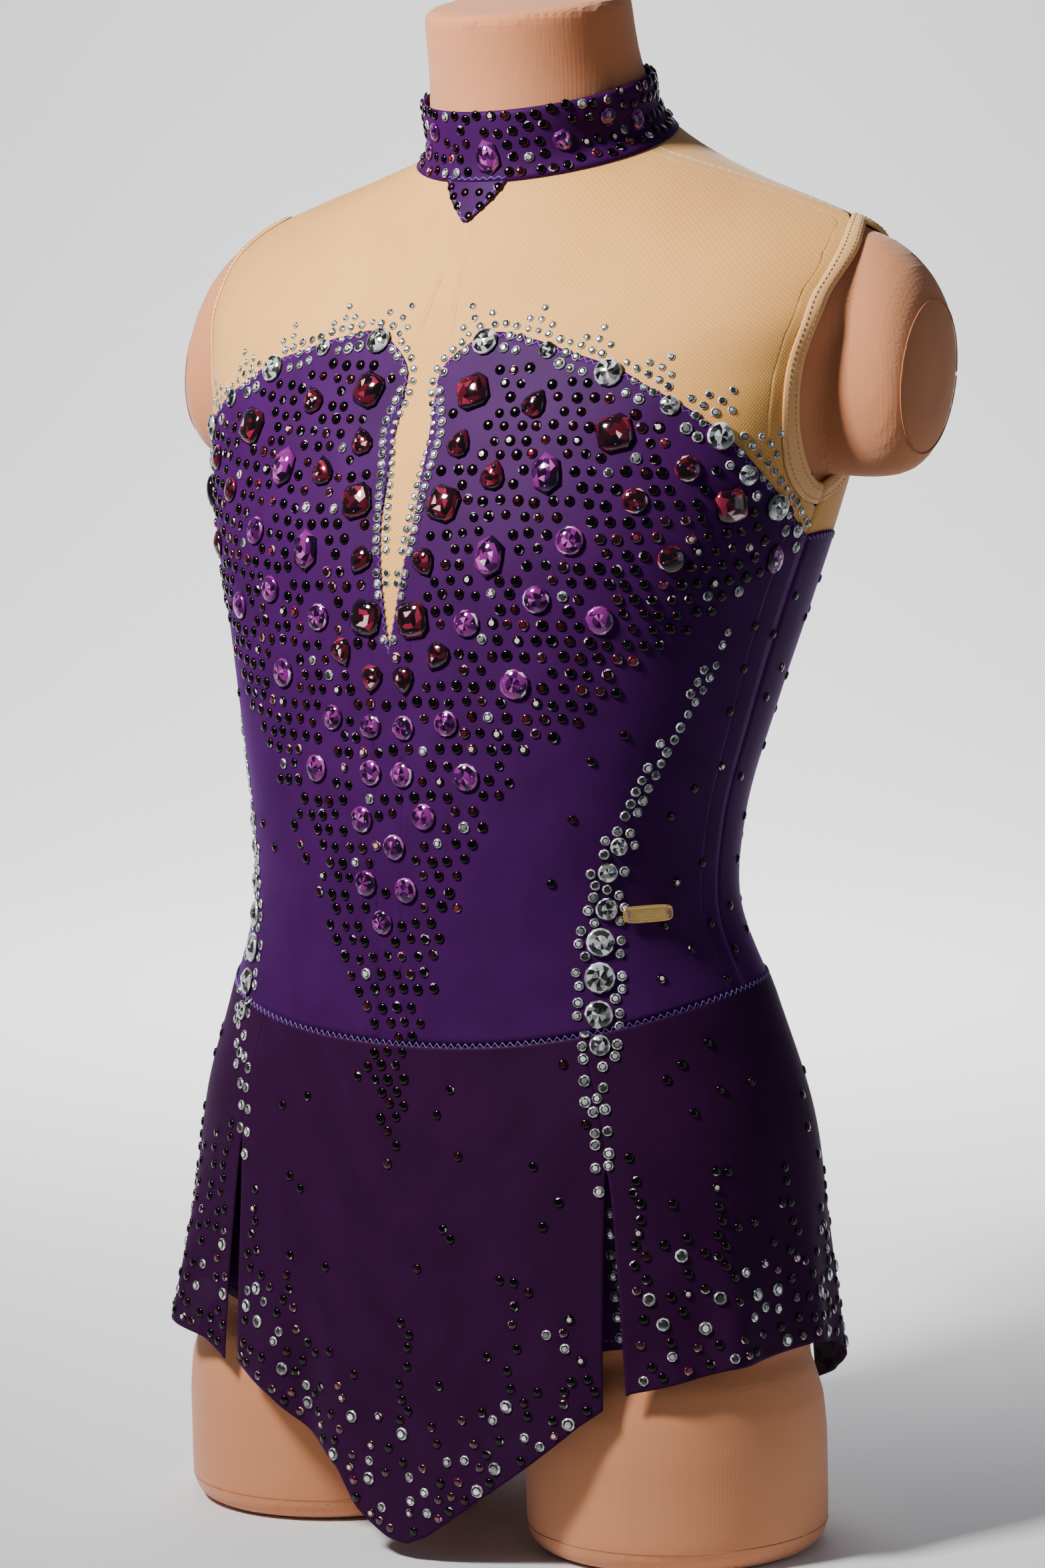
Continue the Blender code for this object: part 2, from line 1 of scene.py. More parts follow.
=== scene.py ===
"""Looks of a rhythmic gymnastics leotard on a soft dress form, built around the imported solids.

Angles go round the body from the centre front, positive towards the wearer's left (+X).
Heights v are measured along the body and match z on its flat parts. Tables are in millimetres.
"""
import math
import bpy
import numpy as np
from mathutils import Matrix, Vector


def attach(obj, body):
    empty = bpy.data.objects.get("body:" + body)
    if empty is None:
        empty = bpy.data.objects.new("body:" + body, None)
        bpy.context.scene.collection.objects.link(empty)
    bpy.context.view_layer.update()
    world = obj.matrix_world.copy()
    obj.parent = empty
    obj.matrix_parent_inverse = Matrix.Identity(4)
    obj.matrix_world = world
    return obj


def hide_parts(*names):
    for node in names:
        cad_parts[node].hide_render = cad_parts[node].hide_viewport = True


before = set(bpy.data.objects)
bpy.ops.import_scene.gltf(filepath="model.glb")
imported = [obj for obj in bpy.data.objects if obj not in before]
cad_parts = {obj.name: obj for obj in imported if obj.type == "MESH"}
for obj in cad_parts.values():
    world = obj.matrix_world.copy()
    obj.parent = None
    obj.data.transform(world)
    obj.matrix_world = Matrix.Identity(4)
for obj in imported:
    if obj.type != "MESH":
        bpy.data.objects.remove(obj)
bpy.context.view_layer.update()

MM = 0.001

# Dress form. A padded torso cut off at the neck and thighs, with two shoulder caps. It is foam
# under a tan jersey cover, and the stubs' rounded ends are closed with a stitched seam.


def table(columns, *rows):
    """Rows of numbers with named columns: table(...)["v"] is the column v."""
    return np.array(list(rows), dtype=[(name, float) for name in columns.split()])


SECTION_COLUMNS = "v z_front z_side z_back half_width y_front y_side y_back power"
SECTIONS = table(
    SECTION_COLUMNS,
    (32,   49,  49,  49, 155, -27.2, -27, -26.8, 2.4),
    (40,   50,  50,  50, 156,  -49, -27,    7, 2.4),
    (50,   54,  54,  54, 158,  -70, -27,   33, 2.4),
    (60,   62,  62,  62, 160,  -85, -27,   51, 2.4),
    (73,   74,  74,  74, 162,  -95, -27,   63, 2.4),
    (100, 100, 100, 100, 165, -104, -26,   72, 2.4),
    (150, 150, 150, 150, 164, -111, -23,   79, 2.3),
    (205, 205, 205, 205, 158, -113, -20,   75, 2.3),
    (255, 248, 255, 262, 143, -111, -20,   62, 2.2),
    (305, 300, 305, 310, 125, -111, -22,   54, 2.2),
    (345, 340, 345, 350, 126, -111, -19,   62, 2.2),
    (395, 390, 395, 400, 136, -108, -10,   78, 2.3),
    (440, 434, 440, 446, 146, -105,   1,   95, 2.4),
    (485, 476, 485, 492, 159, -100,  10,  106, 2.4),
    (525, 515, 528, 533, 170,  -88,  20,  110, 2.4),
    (560, 545, 568, 565, 180,  -77,  28,  108, 2.3),
    (590, 572, 600, 592, 186,  -66,  34,  105, 2.1),
    (612, 594, 620, 612, 178,  -54,  42,  103, 1.9),
    (630, 614, 634, 630, 144,  -43,  44,  102, 1.8),
    (645, 630, 646, 650, 105,  -35,  41,  100, 1.9),
    (660, 645, 660, 675,  63,  -28,  32,   94, 2.0),
    (690, 678, 690, 700,  54,  -28,  25,   78, 2.0),
    (732, 724, 732, 742,  51,  -34,  17,   67, 2.0))
FRAME_SHIFT_Y = 7.5
FORM_CLEARANCE = table("v gap", (73, 4.4), (205, 2.3), (252, 1.6), (450, 1.6), (505, 2.8), (590, 1.6))
NORMAL_STEP = 0.5


def hermite(knots, values, at):
    """Cubic Hermite curve through values at knots, with the slopes that np.gradient gives."""
    slopes = np.gradient(values, knots, axis=0)
    i = np.clip(np.searchsorted(knots, at, side="right") - 1, 0, len(knots) - 2)
    span = (knots[i + 1] - knots[i])[..., None]
    t = (at - knots[i])[..., None] / span
    return ((2 * t**3 - 3 * t**2 + 1) * values[i] + (t**3 - 2 * t**2 + t) * span * slopes[i]
            + (3 * t**2 - 2 * t**3) * values[i + 1] + (t**3 - t**2) * span * slopes[i + 1])


def ring_points(sections, phi, v):
    """Body at angle phi and height v: superellipse rings whose numbers follow Hermite curves."""
    phi, v = np.broadcast_arrays(np.radians(phi), np.asarray(v, float))
    values = np.stack([sections[name] for name in sections.dtype.names[1:]], axis=-1)
    row = hermite(sections["v"], values, v)
    z_front, z_side, z_back, half_width, y_front, y_side, y_back, power = np.moveaxis(row, -1, 0)
    sine, cosine = np.sin(phi), np.cos(phi)
    depth = np.abs(cosine) ** (2 / power)
    x = half_width * np.sign(sine) * np.abs(sine) ** (2 / power)
    y = y_side + np.where(cosine > 0, y_front - y_side, y_back - y_side) * depth
    z = z_side + np.where(cosine > 0, z_front - z_side, z_back - z_side) * depth
    return np.stack([x, y + FRAME_SHIFT_Y, z], axis=-1)


def surface(phi, v, offset=0.0, sections=SECTIONS):
    """Body points moved outward by offset along the normal, in millimetres."""
    phi, v = np.broadcast_arrays(np.asarray(phi, float), np.asarray(v, float))
    low, high = sections["v"][0], sections["v"][-1]
    across = (ring_points(sections, phi + NORMAL_STEP, v)
              - ring_points(sections, phi - NORMAL_STEP, v))
    up = (ring_points(sections, phi, np.minimum(v + NORMAL_STEP, high))
          - ring_points(sections, phi, np.maximum(v - NORMAL_STEP, low)))
    normal = np.cross(across, up)
    normal /= np.linalg.norm(normal, axis=-1, keepdims=True)
    return ring_points(sections, phi, v) + normal * np.asarray(offset, float)[..., None]


def new_piece(name, points, faces, attributes=()):
    """Mesh object from points in millimetres and faces of one size, set as whole arrays."""
    points, faces = np.asarray(points, float).reshape(-1, 3), np.asarray(faces)
    corners = faces.shape[1]
    mesh = bpy.data.meshes.new(name)
    mesh.vertices.add(len(points))
    mesh.vertices.foreach_set("co", (points * MM).astype(np.float32).ravel())
    mesh.loops.add(faces.size)
    mesh.loops.foreach_set("vertex_index", faces.astype(np.int32).ravel())
    mesh.polygons.add(len(faces))
    mesh.polygons.foreach_set("loop_start", np.arange(0, faces.size, corners, dtype=np.int32))
    for label, domain, kind, field, values in attributes:
        layer = mesh.attributes.new(label, kind, domain)
        layer.data.foreach_set(field, np.asarray(values, np.float32).ravel())
    mesh.update(calc_edges=True)
    mesh.validate()
    piece = bpy.data.objects.new(name, mesh)
    bpy.context.scene.collection.objects.link(piece)
    return piece


def grid_faces(rows, columns, cyclic=False):
    """Quads between the rows and columns of a grid of points, wound to face outward."""
    index = np.arange(rows * columns).reshape(rows, columns)
    if cyclic:
        index = np.hstack([index, index[:, :1]])
    return np.stack([index[:-1, :-1], index[:-1, 1:], index[1:, 1:], index[1:, :-1]], -1).reshape(-1, 4)


def together(name, bodies, attributes=()):
    """One piece from several bodies, each a pair of points and faces."""
    counts = np.cumsum([0] + [len(points) for points, _ in bodies])
    faces = [faces + count for (_, faces), count in zip(bodies, counts)]
    return new_piece(name, np.concatenate([points for points, _ in bodies]), np.concatenate(faces),
                     attributes)


def loft(rings):
    """Closed body through rings of points; each end ring shrinks to its own middle."""
    rings = np.asarray(rings, float)
    first, last = rings[0].mean(axis=0), rings[-1].mean(axis=0)
    ends = np.array([0.02, 0.35, 0.7, 0.9])[:, None, None]
    low = first + (rings[0] - first) * ends
    high = last + (rings[-1] - last) * ends[::-1]
    rings = np.concatenate([low, rings, high])
    return rings.reshape(-1, 3), grid_faces(*rings.shape[:2], cyclic=True)


def linear(code):
    """sRGB hex code to the linear colour that a shader socket takes."""
    value = np.array([int(code[i:i + 2], 16) for i in (1, 3, 5)]) / 255
    value = np.where(value <= 0.04045, value / 12.92, ((value + 0.055) / 1.055) ** 2.4)
    return (*value.tolist(), 1.0)


def add(tree, kind, settings=None, **inputs):
    """Add a shader node. Settings are its properties; inputs are values or sockets to link.

    An input's name has _ for a space, and in0, in1 are the sockets by number.
    """
    item = tree.nodes.new("ShaderNode" + kind)
    for key, value in (settings or {}).items():
        setattr(item, key, value)
    for key, value in inputs.items():
        socket = item.inputs[int(key[2:]) if key[:2] == "in" else key.replace("_", " ")]
        if isinstance(value, bpy.types.NodeSocket):
            tree.links.new(value, socket)
        else:
            socket.default_value = value
    return item


def new_material(name):
    """Empty material and its node tree."""
    material = bpy.data.materials.new(name)
    material.use_nodes = True
    material.node_tree.nodes.clear()
    return material, material.node_tree


def ramp(tree, factor, *stops):
    """Colour ramp through (place, hex) stops."""
    item = add(tree, "ValToRGB", Fac=factor)
    elements = item.color_ramp.elements
    while len(elements) < len(stops):
        elements.new(1.0)
    for element, (place, code) in zip(elements, stops):
        element.position, element.color = place, linear(code)
    return item.outputs["Color"]


def shade(tree, tone, relief=None, **inputs):
    """Close a material: its colour, its gloss inputs, and a relief (height, strength, depth in mm)."""
    if relief:
        height, strength, depth = relief
        bump = add(tree, "Bump", Strength=strength, Distance=depth * MM, Height=height)
        inputs["Normal"] = bump.outputs["Normal"]
    shader = add(tree, "BsdfPrincipled", Base_Color=tone, **inputs)
    add(tree, "OutputMaterial", Surface=shader.outputs["BSDF"])


def finish(piece, material, slot, *nodes, smooth=True):
    """Give a piece its material, say what it rides on, and hide the solids that it stands for."""
    piece.data.materials.append(material)
    if smooth:
        piece.data.shade_smooth()
    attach(piece, "root")
    if nodes:
        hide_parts(*nodes)
    return piece


# Jersey: knitted viscose drawn tight, so its upright ribs barely show, under a soft, matt bloom.
# Wave bands at scale 1 repeat about 3.1 times in a unit
BANDS_PER_UNIT = 3.1
jersey, tree = new_material("tan_jersey_knit")
place = add(tree, "TexCoord").outputs["Object"]
RIB_SPACING = 1.3
ribs = add(tree, "TexWave", {"wave_type": "BANDS", "bands_direction": "X"}, Vector=place,
           Scale=1 / (RIB_SPACING * MM) / BANDS_PER_UNIT, Distortion=1.5, Detail=2.0, Detail_Scale=1.5)
cloud = add(tree, "TexNoise", Vector=place, Scale=9.0, Detail=4.0)
tone = ramp(tree, cloud.outputs["Fac"], (0.3, "#C57C50"), (0.7, "#CF875B"))
shade(tree, tone, (ribs.outputs["Fac"], 0.05, 0.4), Roughness=0.85, Sheen_Weight=0.25,
      Sheen_Roughness=0.5, Specular_IOR_Level=0.3)

FORM_COLUMNS = 120
FORM_VOXEL = 3.0
TORSO_LOW_V = 44
NECK_LOW_V = 642
NECK_TOP_V = 728.5
NECK_ROLL = ((0.0, 1.0), (1.6, 0.985), (2.6, 0.955), (3.0, 0.92))
phi = np.linspace(-180, 180, FORM_COLUMNS, endpoint=False)
v = np.concatenate([np.linspace(TORSO_LOW_V, NECK_LOW_V - 2, 150),
                    np.linspace(NECK_LOW_V + 2, NECK_TOP_V - 1.5, 30)])[:, None]
clearance = np.interp(v, FORM_CLEARANCE["v"], FORM_CLEARANCE["gap"])
torso_rings = surface(phi, v, -clearance)
top = surface(phi, NECK_TOP_V, -clearance[-1])
middle = top.mean(axis=0)
neck_rings = [middle + (top - middle) * scale + [0, 0, rise] for rise, scale in NECK_ROLL]
bodies = [loft(np.concatenate([torso_rings, neck_rings]))]

THIGH_CENTRE = (101, -28)
THIGH_PROFILE = table(
    "radius z", (60, 0), (64, 0.4), (67.5, 2.2), (70.3, 5.5), (71.6, 9.5), (71.75, 11.5),
    (71.15, 12.2), (71.75, 12.9), (72, 15), (72, 35), (72, 55), (70.5, 72), (66, 87), (57, 101),
    (42, 115))
SHOULDER = table(
    "x y z depth height", (120, 32, 563, 28, 50), (160, 36, 564, 32.5, 57.5),
    (174, 36.5, 563, 33, 57.5), (185, 36.5, 561, 33, 55.5), (194, 36.5, 558.5, 32.5, 52),
    (201, 36.5, 556, 31, 47.5), (206, 36.5, 554, 28.5, 42), (209.4, 36.5, 552.5, 25, 35.5),
    (211.6, 36.5, 551, 19.5, 28), (213, 36.5, 550, 11.5, 17))
SHOULDER_LEAN = 6


def thigh_rings(side, radius, z, turn):
    """Level rings of a thigh stub: circles round its centre."""
    return np.stack([side * THIGH_CENTRE[0] + radius * np.cos(turn),
                     THIGH_CENTRE[1] + FRAME_SHIFT_Y + radius * np.sin(turn), z + 0 * turn], axis=-1)


def shoulder_rings(side, rows, turn):
    """Upright rings of a shoulder cap: ellipses that lean back towards their tops."""
    x, y, z, depth, height = [rows[key][..., None] for key in rows.dtype.names]
    return np.stack([side * (x + 0 * turn), y + FRAME_SHIFT_Y + depth * np.cos(side * turn)
                     + SHOULDER_LEAN * np.sin(side * turn), z + height * np.sin(side * turn)], axis=-1)


turn = np.linspace(0, 2 * np.pi, 96, endpoint=False)
for side in (1, -1):
    bodies.append(loft(thigh_rings(side, *[THIGH_PROFILE[key][:, None] for key in ("radius", "z")], turn)))
    bodies.append(loft(shoulder_rings(side, SHOULDER, turn)))
form = together("form_torso", bodies)
remesh = form.modifiers.new("one_skin", "REMESH")
remesh.mode, remesh.voxel_size = "VOXEL", FORM_VOXEL * MM
ease = form.modifiers.new("ease", "SMOOTH")
ease.factor, ease.iterations = 0.5, 4
finish(form, jersey, "form_jersey", "dress_form")

# Nude yoke. Stretch power mesh, one piece in front and two behind, sewn under the bodice's edge.
# Its fine warp knit shows as slanting rows of tiny holes with the form's tan behind them.

SWEETHEART = table(
    "phi v", (0, 436), (1.4, 480), (3.0, 540), (5.9, 588), (9.5, 594), (16, 590), (23, 582),
    (30, 574), (37, 562.5), (45, 551), (53, 539), (61.5, 526), (70, 512.5), (77.5, 501),
    (84, 490.5), (90, 480))
ARMHOLE = table(
    "seam_phi seam_v edge_phi edge_v",
    (90.0, 494.0, 90.0, 502.0), (86.0, 497.3, 87.8, 504.6), (82.0, 502.5, 85.2, 509.0),
    (76.0, 514.0, 80.5, 519.0), (72.3, 526.5, 76.5, 530.0), (69.0, 541.0, 73.0, 543.0),
    (66.4, 557.5, 70.5, 558.0), (65.8, 577.0, 70.0, 577.0), (68.5, 597.0, 73.0, 595.0),
    (75.0, 610.8, 79.0, 606.8), (82.5, 617.3, 84.5, 613.2), (90.0, 620.5, 90.0, 616.5))
BACK_ARMHOLE_SPREAD = 1.35
BACK_EDGE_DIP = 34
NECK_V = 659.6
YOKE_TOP_V = NECK_V + 3
EDGE_POINTS = 90
YOKE_ROWS = 70
YOKE_IN = 0.1
YOKE_OUT = 0.6
EDGE_LAP = 7.0


def curve_through(rows, count):
    """Smooth curve through the table's rows, by Hermite curves over its chord length."""
    values = np.stack([rows[name] for name in rows.dtype.names], axis=-1)
    chord = np.append(0, np.cumsum(np.linalg.norm(np.diff(values, axis=0), axis=1)))
    return hermite(chord, values, np.linspace(0, chord[-1], count))


def armhole_half_angle(v):
    """Half angle of the front panels at height v: 90 but where the armhole takes some."""
    return np.interp(v, ARMHOLE["seam_v"], ARMHOLE["seam_phi"], left=90.0, right=90.0)


def front_phi(u, v):
    """Angle of a front panel's column u (0 centre, 1 side) at height v."""
    return 90 * u * (1 - (1 - armhole_half_angle(v) / 90) * np.abs(u))


def column_of(phi, v):
    """The column u whose angle at height v is phi, from the quadratic above."""
    loss = np.maximum(1 - armhole_half_angle(v) / 90, 1e-9)
    return (1 - np.sqrt(1 - 4 * loss * phi / 90)) / (2 * loss)


def back_phi(w, v):
    """Angle of a back panel's column w (0 centre, 1 side), with its own armhole."""
    loss = (1 - armhole_half_angle(v) / 90) * BACK_ARMHOLE_SPREAD
    return 180 + 90 * w * (1 - loss * np.abs(w))


def mirrored(values, sign=-1):
    """A half row from the centre outward, continued to the other side."""
    return np.concatenate([sign * values[:0:-1], values])


def back_edge_v(w):
    """Height of the back bodice's top edge: a shallow dip between the side seams."""
    return SWEETHEART["v"][-1] - BACK_EDGE_DIP * np.cos(np.radians(90 * w)) ** 2


def between(low, high, share):
    """Values from low to high at the shares of the way."""
    return low * (1 - share) + high * share


# Distances round the body from the centre front, row by row, at every degree
ARC_STEP = 4.0
ARC_REACH = 270
ARC_PHI = np.arange(-ARC_REACH, ARC_REACH + 1.0)
ARC_V = np.arange(60, 700, ARC_STEP)
arc_grid = ring_points(SECTIONS, ARC_PHI, ARC_V[:, None])
arc_steps = np.linalg.norm(np.diff(arc_grid, axis=1, prepend=arc_grid[:, :1]), axis=-1)
arc_lengths = arc_steps.cumsum(axis=1)
arc_lengths -= arc_lengths[:, ARC_REACH:ARC_REACH + 1]


def phi_at(arc, v):
    """Angle at a distance along the body from the centre front, in the row at height v."""
    row = arc_lengths[np.clip(int(round((v - ARC_V[0]) / ARC_STEP)), 0, len(ARC_V) - 1)]
    return np.interp(arc, row, ARC_PHI)


def arc_at(phi, v):
    """Distance along the body from the centre front to angle phi, at height v."""
    phi, v = np.broadcast_arrays(np.asarray(phi, float), np.asarray(v, float))
    column, row = phi - ARC_PHI[0], np.clip((v - ARC_V[0]) / ARC_STEP, 0, len(ARC_V) - 1.001)
    i, j = row.astype(int), np.clip(column.astype(int), 0, len(ARC_PHI) - 2)
    s, t = row - i, column - j
    low = between(arc_lengths[i, j], arc_lengths[i, j + 1], t)
    return between(low, between(arc_lengths[i + 1, j], arc_lengths[i + 1, j + 1], t), s)


def cloth_piece(name, points, thickness, cyclic=False, laid=None):
    """Sheet of cloth: its inner face on the grid of points, Solidify outward for its thickness.

    The attribute cloth holds each point's way across and up the sheet, in millimetres. Where the
    sheet lies on the body, laid is its angles and heights there.
    """
    rows, columns = points.shape[:2]
    steps = np.linalg.norm(np.diff(points, axis=1), axis=-1)
    across = np.hstack([np.zeros((rows, 1)), np.cumsum(steps, axis=1)])
    across -= across[:, columns // 2:columns // 2 + 1]
    rises = np.linalg.norm(np.diff(points, axis=0), axis=-1)
    up = np.vstack([np.zeros((1, columns)), np.cumsum(rises, axis=0)])
    if laid is not None:
        across, up = arc_at(*laid), np.broadcast_to(laid[1], (rows, columns))
    cloth = np.stack([across, up, 0 * up], axis=-1)
    piece = new_piece(name, points, grid_faces(rows, columns, cyclic),
                      [("cloth", "POINT", "FLOAT_VECTOR", "vector", cloth)])
    wall = piece.modifiers.new("cloth", "SOLIDIFY")
    wall.thickness, wall.offset = thickness * MM, 1.0
    return piece


# Power mesh: the hole rows are 1.6 mm apart, twice their real spacing, so that they show
nude_mesh, tree = new_material("nude_power_mesh")
place = add(tree, "Attribute", {"attribute_name": "cloth"}).outputs["Vector"]
HOLE_SPACING = 1.6
rows_of_holes = []
for angle in (38, -52):
    turned = add(tree, "Mapping", Vector=place, Rotation=(0, 0, math.radians(angle)))
    rows_of_holes.append(add(tree, "TexWave", {"wave_type": "BANDS", "bands_direction": "X"},
                             Vector=turned.outputs["Vector"], Scale=1 / HOLE_SPACING / BANDS_PER_UNIT,
                             Distortion=0.3).outputs["Fac"])
knit = add(tree, "Math", {"operation": "MULTIPLY"}, in0=rows_of_holes[0], in1=rows_of_holes[1])
cloud = add(tree, "TexNoise", Vector=place, Scale=0.02, Detail=3.0)
hole_tone = ramp(tree, cloud.outputs["Fac"], (0.35, "#CF9045"), (0.65, "#D6994D"))
mesh_tone = add(tree, "Mix", {"data_type": "RGBA"}, in0=knit.outputs["Value"], in6=hole_tone,
                in7=linear("#EBAF5A"))
shade(tree, mesh_tone.outputs["Result"], (knit.outputs["Value"], 0.25, 0.3), Roughness=0.75,
      Sheen_Weight=0.3, Sheen_Roughness=0.4, Specular_IOR_Level=0.35)

edge_phi, edge_v = curve_through(SWEETHEART, EDGE_POINTS).T
front_u = mirrored(column_of(edge_phi, edge_v))
front_edge_v = mirrored(edge_v, sign=1)
rise = np.linspace(0, 1, YOKE_ROWS)[:, None]
v = np.minimum(between(front_edge_v - EDGE_LAP, YOKE_TOP_V, rise), YOKE_TOP_V)
phi = front_phi(front_u, v)
front_yoke = cloth_piece("front_yoke_mesh", surface(phi, v, YOKE_IN), YOKE_OUT, laid=(phi, v))
finish(front_yoke, nude_mesh, "nude_mesh", "front_yoke")

for side, name in ((1, "left"), (-1, "right")):
    w = np.linspace(-1, 0, 50) + (side < 0)
    v = between(back_edge_v(w) - EDGE_LAP, YOKE_TOP_V, rise)
    phi = back_phi(w, v)
    back_yoke = cloth_piece("back_yoke_" + name + "_mesh", surface(phi, v, YOKE_IN), YOKE_OUT,
                            laid=(phi, v))
    finish(back_yoke, nude_mesh, "nude_mesh", "back_yoke_" + name)

# Bodice. Purple stretch lycra, one front piece with a heart-shaped top and a slit at the centre,
# and one back piece. The top edge is sewn flat onto the mesh, the bottom to the skirt.

WAIST_V_CENTRE_FRONT = 252
WAIST_RISE_TO_SIDE = 16
WAIST_V_CENTRE_BACK = 262
BODICE_IN = 0.75
BODICE_THICKNESS = 0.75
BODICE_OUT = BODICE_IN + BODICE_THICKNESS
BODICE_ROWS = 90


def waist_v(phi):
    """Height of the waist seam: lowest at the centre front, highest at the sides."""
    side = WAIST_V_CENTRE_FRONT + WAIST_RISE_TO_SIDE
    centre = np.where(np.cos(np.radians(phi)) > 0, WAIST_V_CENTRE_FRONT, WAIST_V_CENTRE_BACK)
    return between(centre, side, np.sin(np.radians(phi)) ** 2)


# Lycra: fine warp knit with a satin face, so it has a broad soft gloss and almost no visible grain
lycra, tree = new_material("purple_satin_lycra")
place = add(tree, "Attribute", {"attribute_name": "cloth"}).outputs["Vector"]
KNIT_SPACING = 1.1
cloud = add(tree, "TexNoise", Vector=place, Scale=0.035, Detail=3.0)
grain = add(tree, "TexNoise", Vector=place, Scale=1 / KNIT_SPACING, Detail=2.0)
tone = ramp(tree, cloud.outputs["Fac"], (0.3, "#320B3E"), (0.7, "#3A0E48"))
shade(tree, tone, (grain.outputs["Fac"], 0.15, 0.2), Roughness=0.55, Sheen_Weight=0.8,
      Sheen_Roughness=0.3, Sheen_Tint=linear("#7A2FA0"), Specular_IOR_Level=0.06)

rise = np.linspace(0, 1, BODICE_ROWS)[:, None]
v = between(waist_v(90 * front_u), front_edge_v, rise)
phi = front_phi(front_u, v)
front_bodice = cloth_piece("front_bodice_lycra", surface(phi, v, BODICE_IN), BODICE_THICKNESS,
                           laid=(phi, v))
finish(front_bodice, lycra, "purple_lycra", "front_bodice")

w = np.linspace(-1, 1, 100)
v = between(waist_v(180 + 90 * w), back_edge_v(w), rise)
phi = back_phi(w, v)
back_bodice = cloth_piece("back_bodice_lycra", surface(phi, v, BODICE_IN), BODICE_THICKNESS,
                          laid=(phi, v))
finish(back_bodice, lycra, "purple_lycra", "back_bodice")

# Sewing thread. Polyester in a brighter violet than the cloth, laid as a narrow zigzag over the
# joins, and nude straight stitches on the bindings. Its ply is finer than the picture shows.

THREAD_RADIUS = 0.26
ZIGZAG_STEP = 1.9
ZIGZAG_HALF_WIDTH = 1.15


def tube(points, radius, sides=5):
    """Round tube along a path: its rings stand square to the path, on two cross directions."""
    along = np.gradient(points, axis=0)
    along /= np.linalg.norm(along, axis=1, keepdims=True)
    reference = np.where(np.abs(along[:, 2:]) < 0.9, [[0, 0, 1.0]], [[1.0, 0, 0]])
    first = np.cross(along, reference)
    first /= np.linalg.norm(first, axis=1, keepdims=True)
    second = np.cross(along, first)
    angle = np.linspace(0, 2 * np.pi, sides, endpoint=False)
    return (points[:, None] + radius * (first[:, None] * np.cos(angle)[:, None]
                                        - second[:, None] * np.sin(angle)[:, None]))


def thread_piece(name, paths, radius=THREAD_RADIUS):
    """Many tubes as one piece, each tapered at its ends by shrinking its first and last ring."""
    bodies = []
    for path in paths:
        rings = tube(np.asarray(path), radius)
        for end in (0, -1):
            middle = rings[end].mean(axis=0)
            rings[end] = middle + (rings[end] - middle) * 0.05
        bodies.append((rings.reshape(-1, 3), grid_faces(*rings.shape[:2], cyclic=True)))
    return together(name, bodies)


def even_path(points, step):
    """The same path with points every step along its length."""
    length = np.append(0, np.cumsum(np.linalg.norm(np.diff(points, axis=0), axis=1)))
    at = np.linspace(0, length[-1], max(2, int(length[-1] / step)))
    return np.stack([np.interp(at, length, column) for column in points.T], axis=-1)


def zigzag(phi, v, offset, half_width=ZIGZAG_HALF_WIDTH, step=ZIGZAG_STEP, sections=SECTIONS):
    """Zigzag over a line on the body: points alternate to its two sides, square to it."""
    line = surface(phi, v, offset, sections)
    out = surface(phi, v, offset + 1.0, sections) - line
    both = even_path(np.hstack([line, out]), step)
    line, out = both[:, :3], both[:, 3:]
    side = np.cross(np.gradient(line, axis=0), out)
    side /= np.linalg.norm(side, axis=1, keepdims=True)
    swing = np.where(np.arange(len(line)) % 2 == 0, half_width, -half_width)[:, None]
    return line + side * swing


def dashes(line, length, gap):
    """Straight stitches along a line: thread on three of every four equal steps."""
    path = even_path(line, (length + gap) / 4)
    return [path[4 * i:4 * i + 4] for i in range((len(path) - 1) // 4)]


# Thread: twisted polyester, smoother than the cloth, so each stitch catches a little light
thread, tree = new_material("violet_polyester_thread")
shade(tree, linear("#60359C"), Roughness=0.45, Sheen_Weight=0.3, Specular_IOR_Level=0.5)

nude_thread, tree = new_material("nude_polyester_thread")
shade(tree, linear("#B8803F"), Roughness=0.6, Specular_IOR_Level=0.4)

round_body = np.linspace(-180, 180, 400)
waist_line = zigzag(round_body, waist_v(round_body), BODICE_OUT + 0.9)
EDGE_THREAD_IN = 1.6
edge_line = zigzag(mirrored(edge_phi), mirrored(edge_v, sign=1) - EDGE_THREAD_IN, BODICE_OUT + 0.1, 0.9)
back_w = np.linspace(-1, 1, 120)
back_line = zigzag(back_phi(back_w, back_edge_v(back_w)), back_edge_v(back_w) - EDGE_THREAD_IN,
                   BODICE_OUT + 0.1, 0.9)
bodice_thread = thread_piece("bodice_zigzag_thread", [waist_line, edge_line, back_line])
finish(bodice_thread, thread, "purple_lycra")

# Form seams. Fine overlocked seams close the jersey round each shoulder end and each thigh end.

# Seam: the jersey's own yarn pressed flat, so it is matt and a shade darker than the cover
jersey_seam, tree = new_material("tan_jersey_seam")
shade(tree, linear("#B97750"), Roughness=0.85, Specular_IOR_Level=0.2)
SEAM_RADIUS = 0.35
SHOULDER_SEAM_ROW = 7
THIGH_SEAM_RADIUS, THIGH_SEAM_Z = 71.5, 11.5
closed_turn = np.linspace(0, 2 * np.pi, 181)
seams = []
for side in (1, -1):
    seams.append(shoulder_rings(side, SHOULDER[SHOULDER_SEAM_ROW], side * closed_turn))
    seams.append(thigh_rings(side, THIGH_SEAM_RADIUS, THIGH_SEAM_Z, closed_turn))
finish(thread_piece("form_seams", seams, SEAM_RADIUS), jersey_seam, "form_jersey")

# Armhole bindings. A folded strip of nude elastic over each armhole's edge, held by two rows of
# straight stitches, one near each side of the strip.

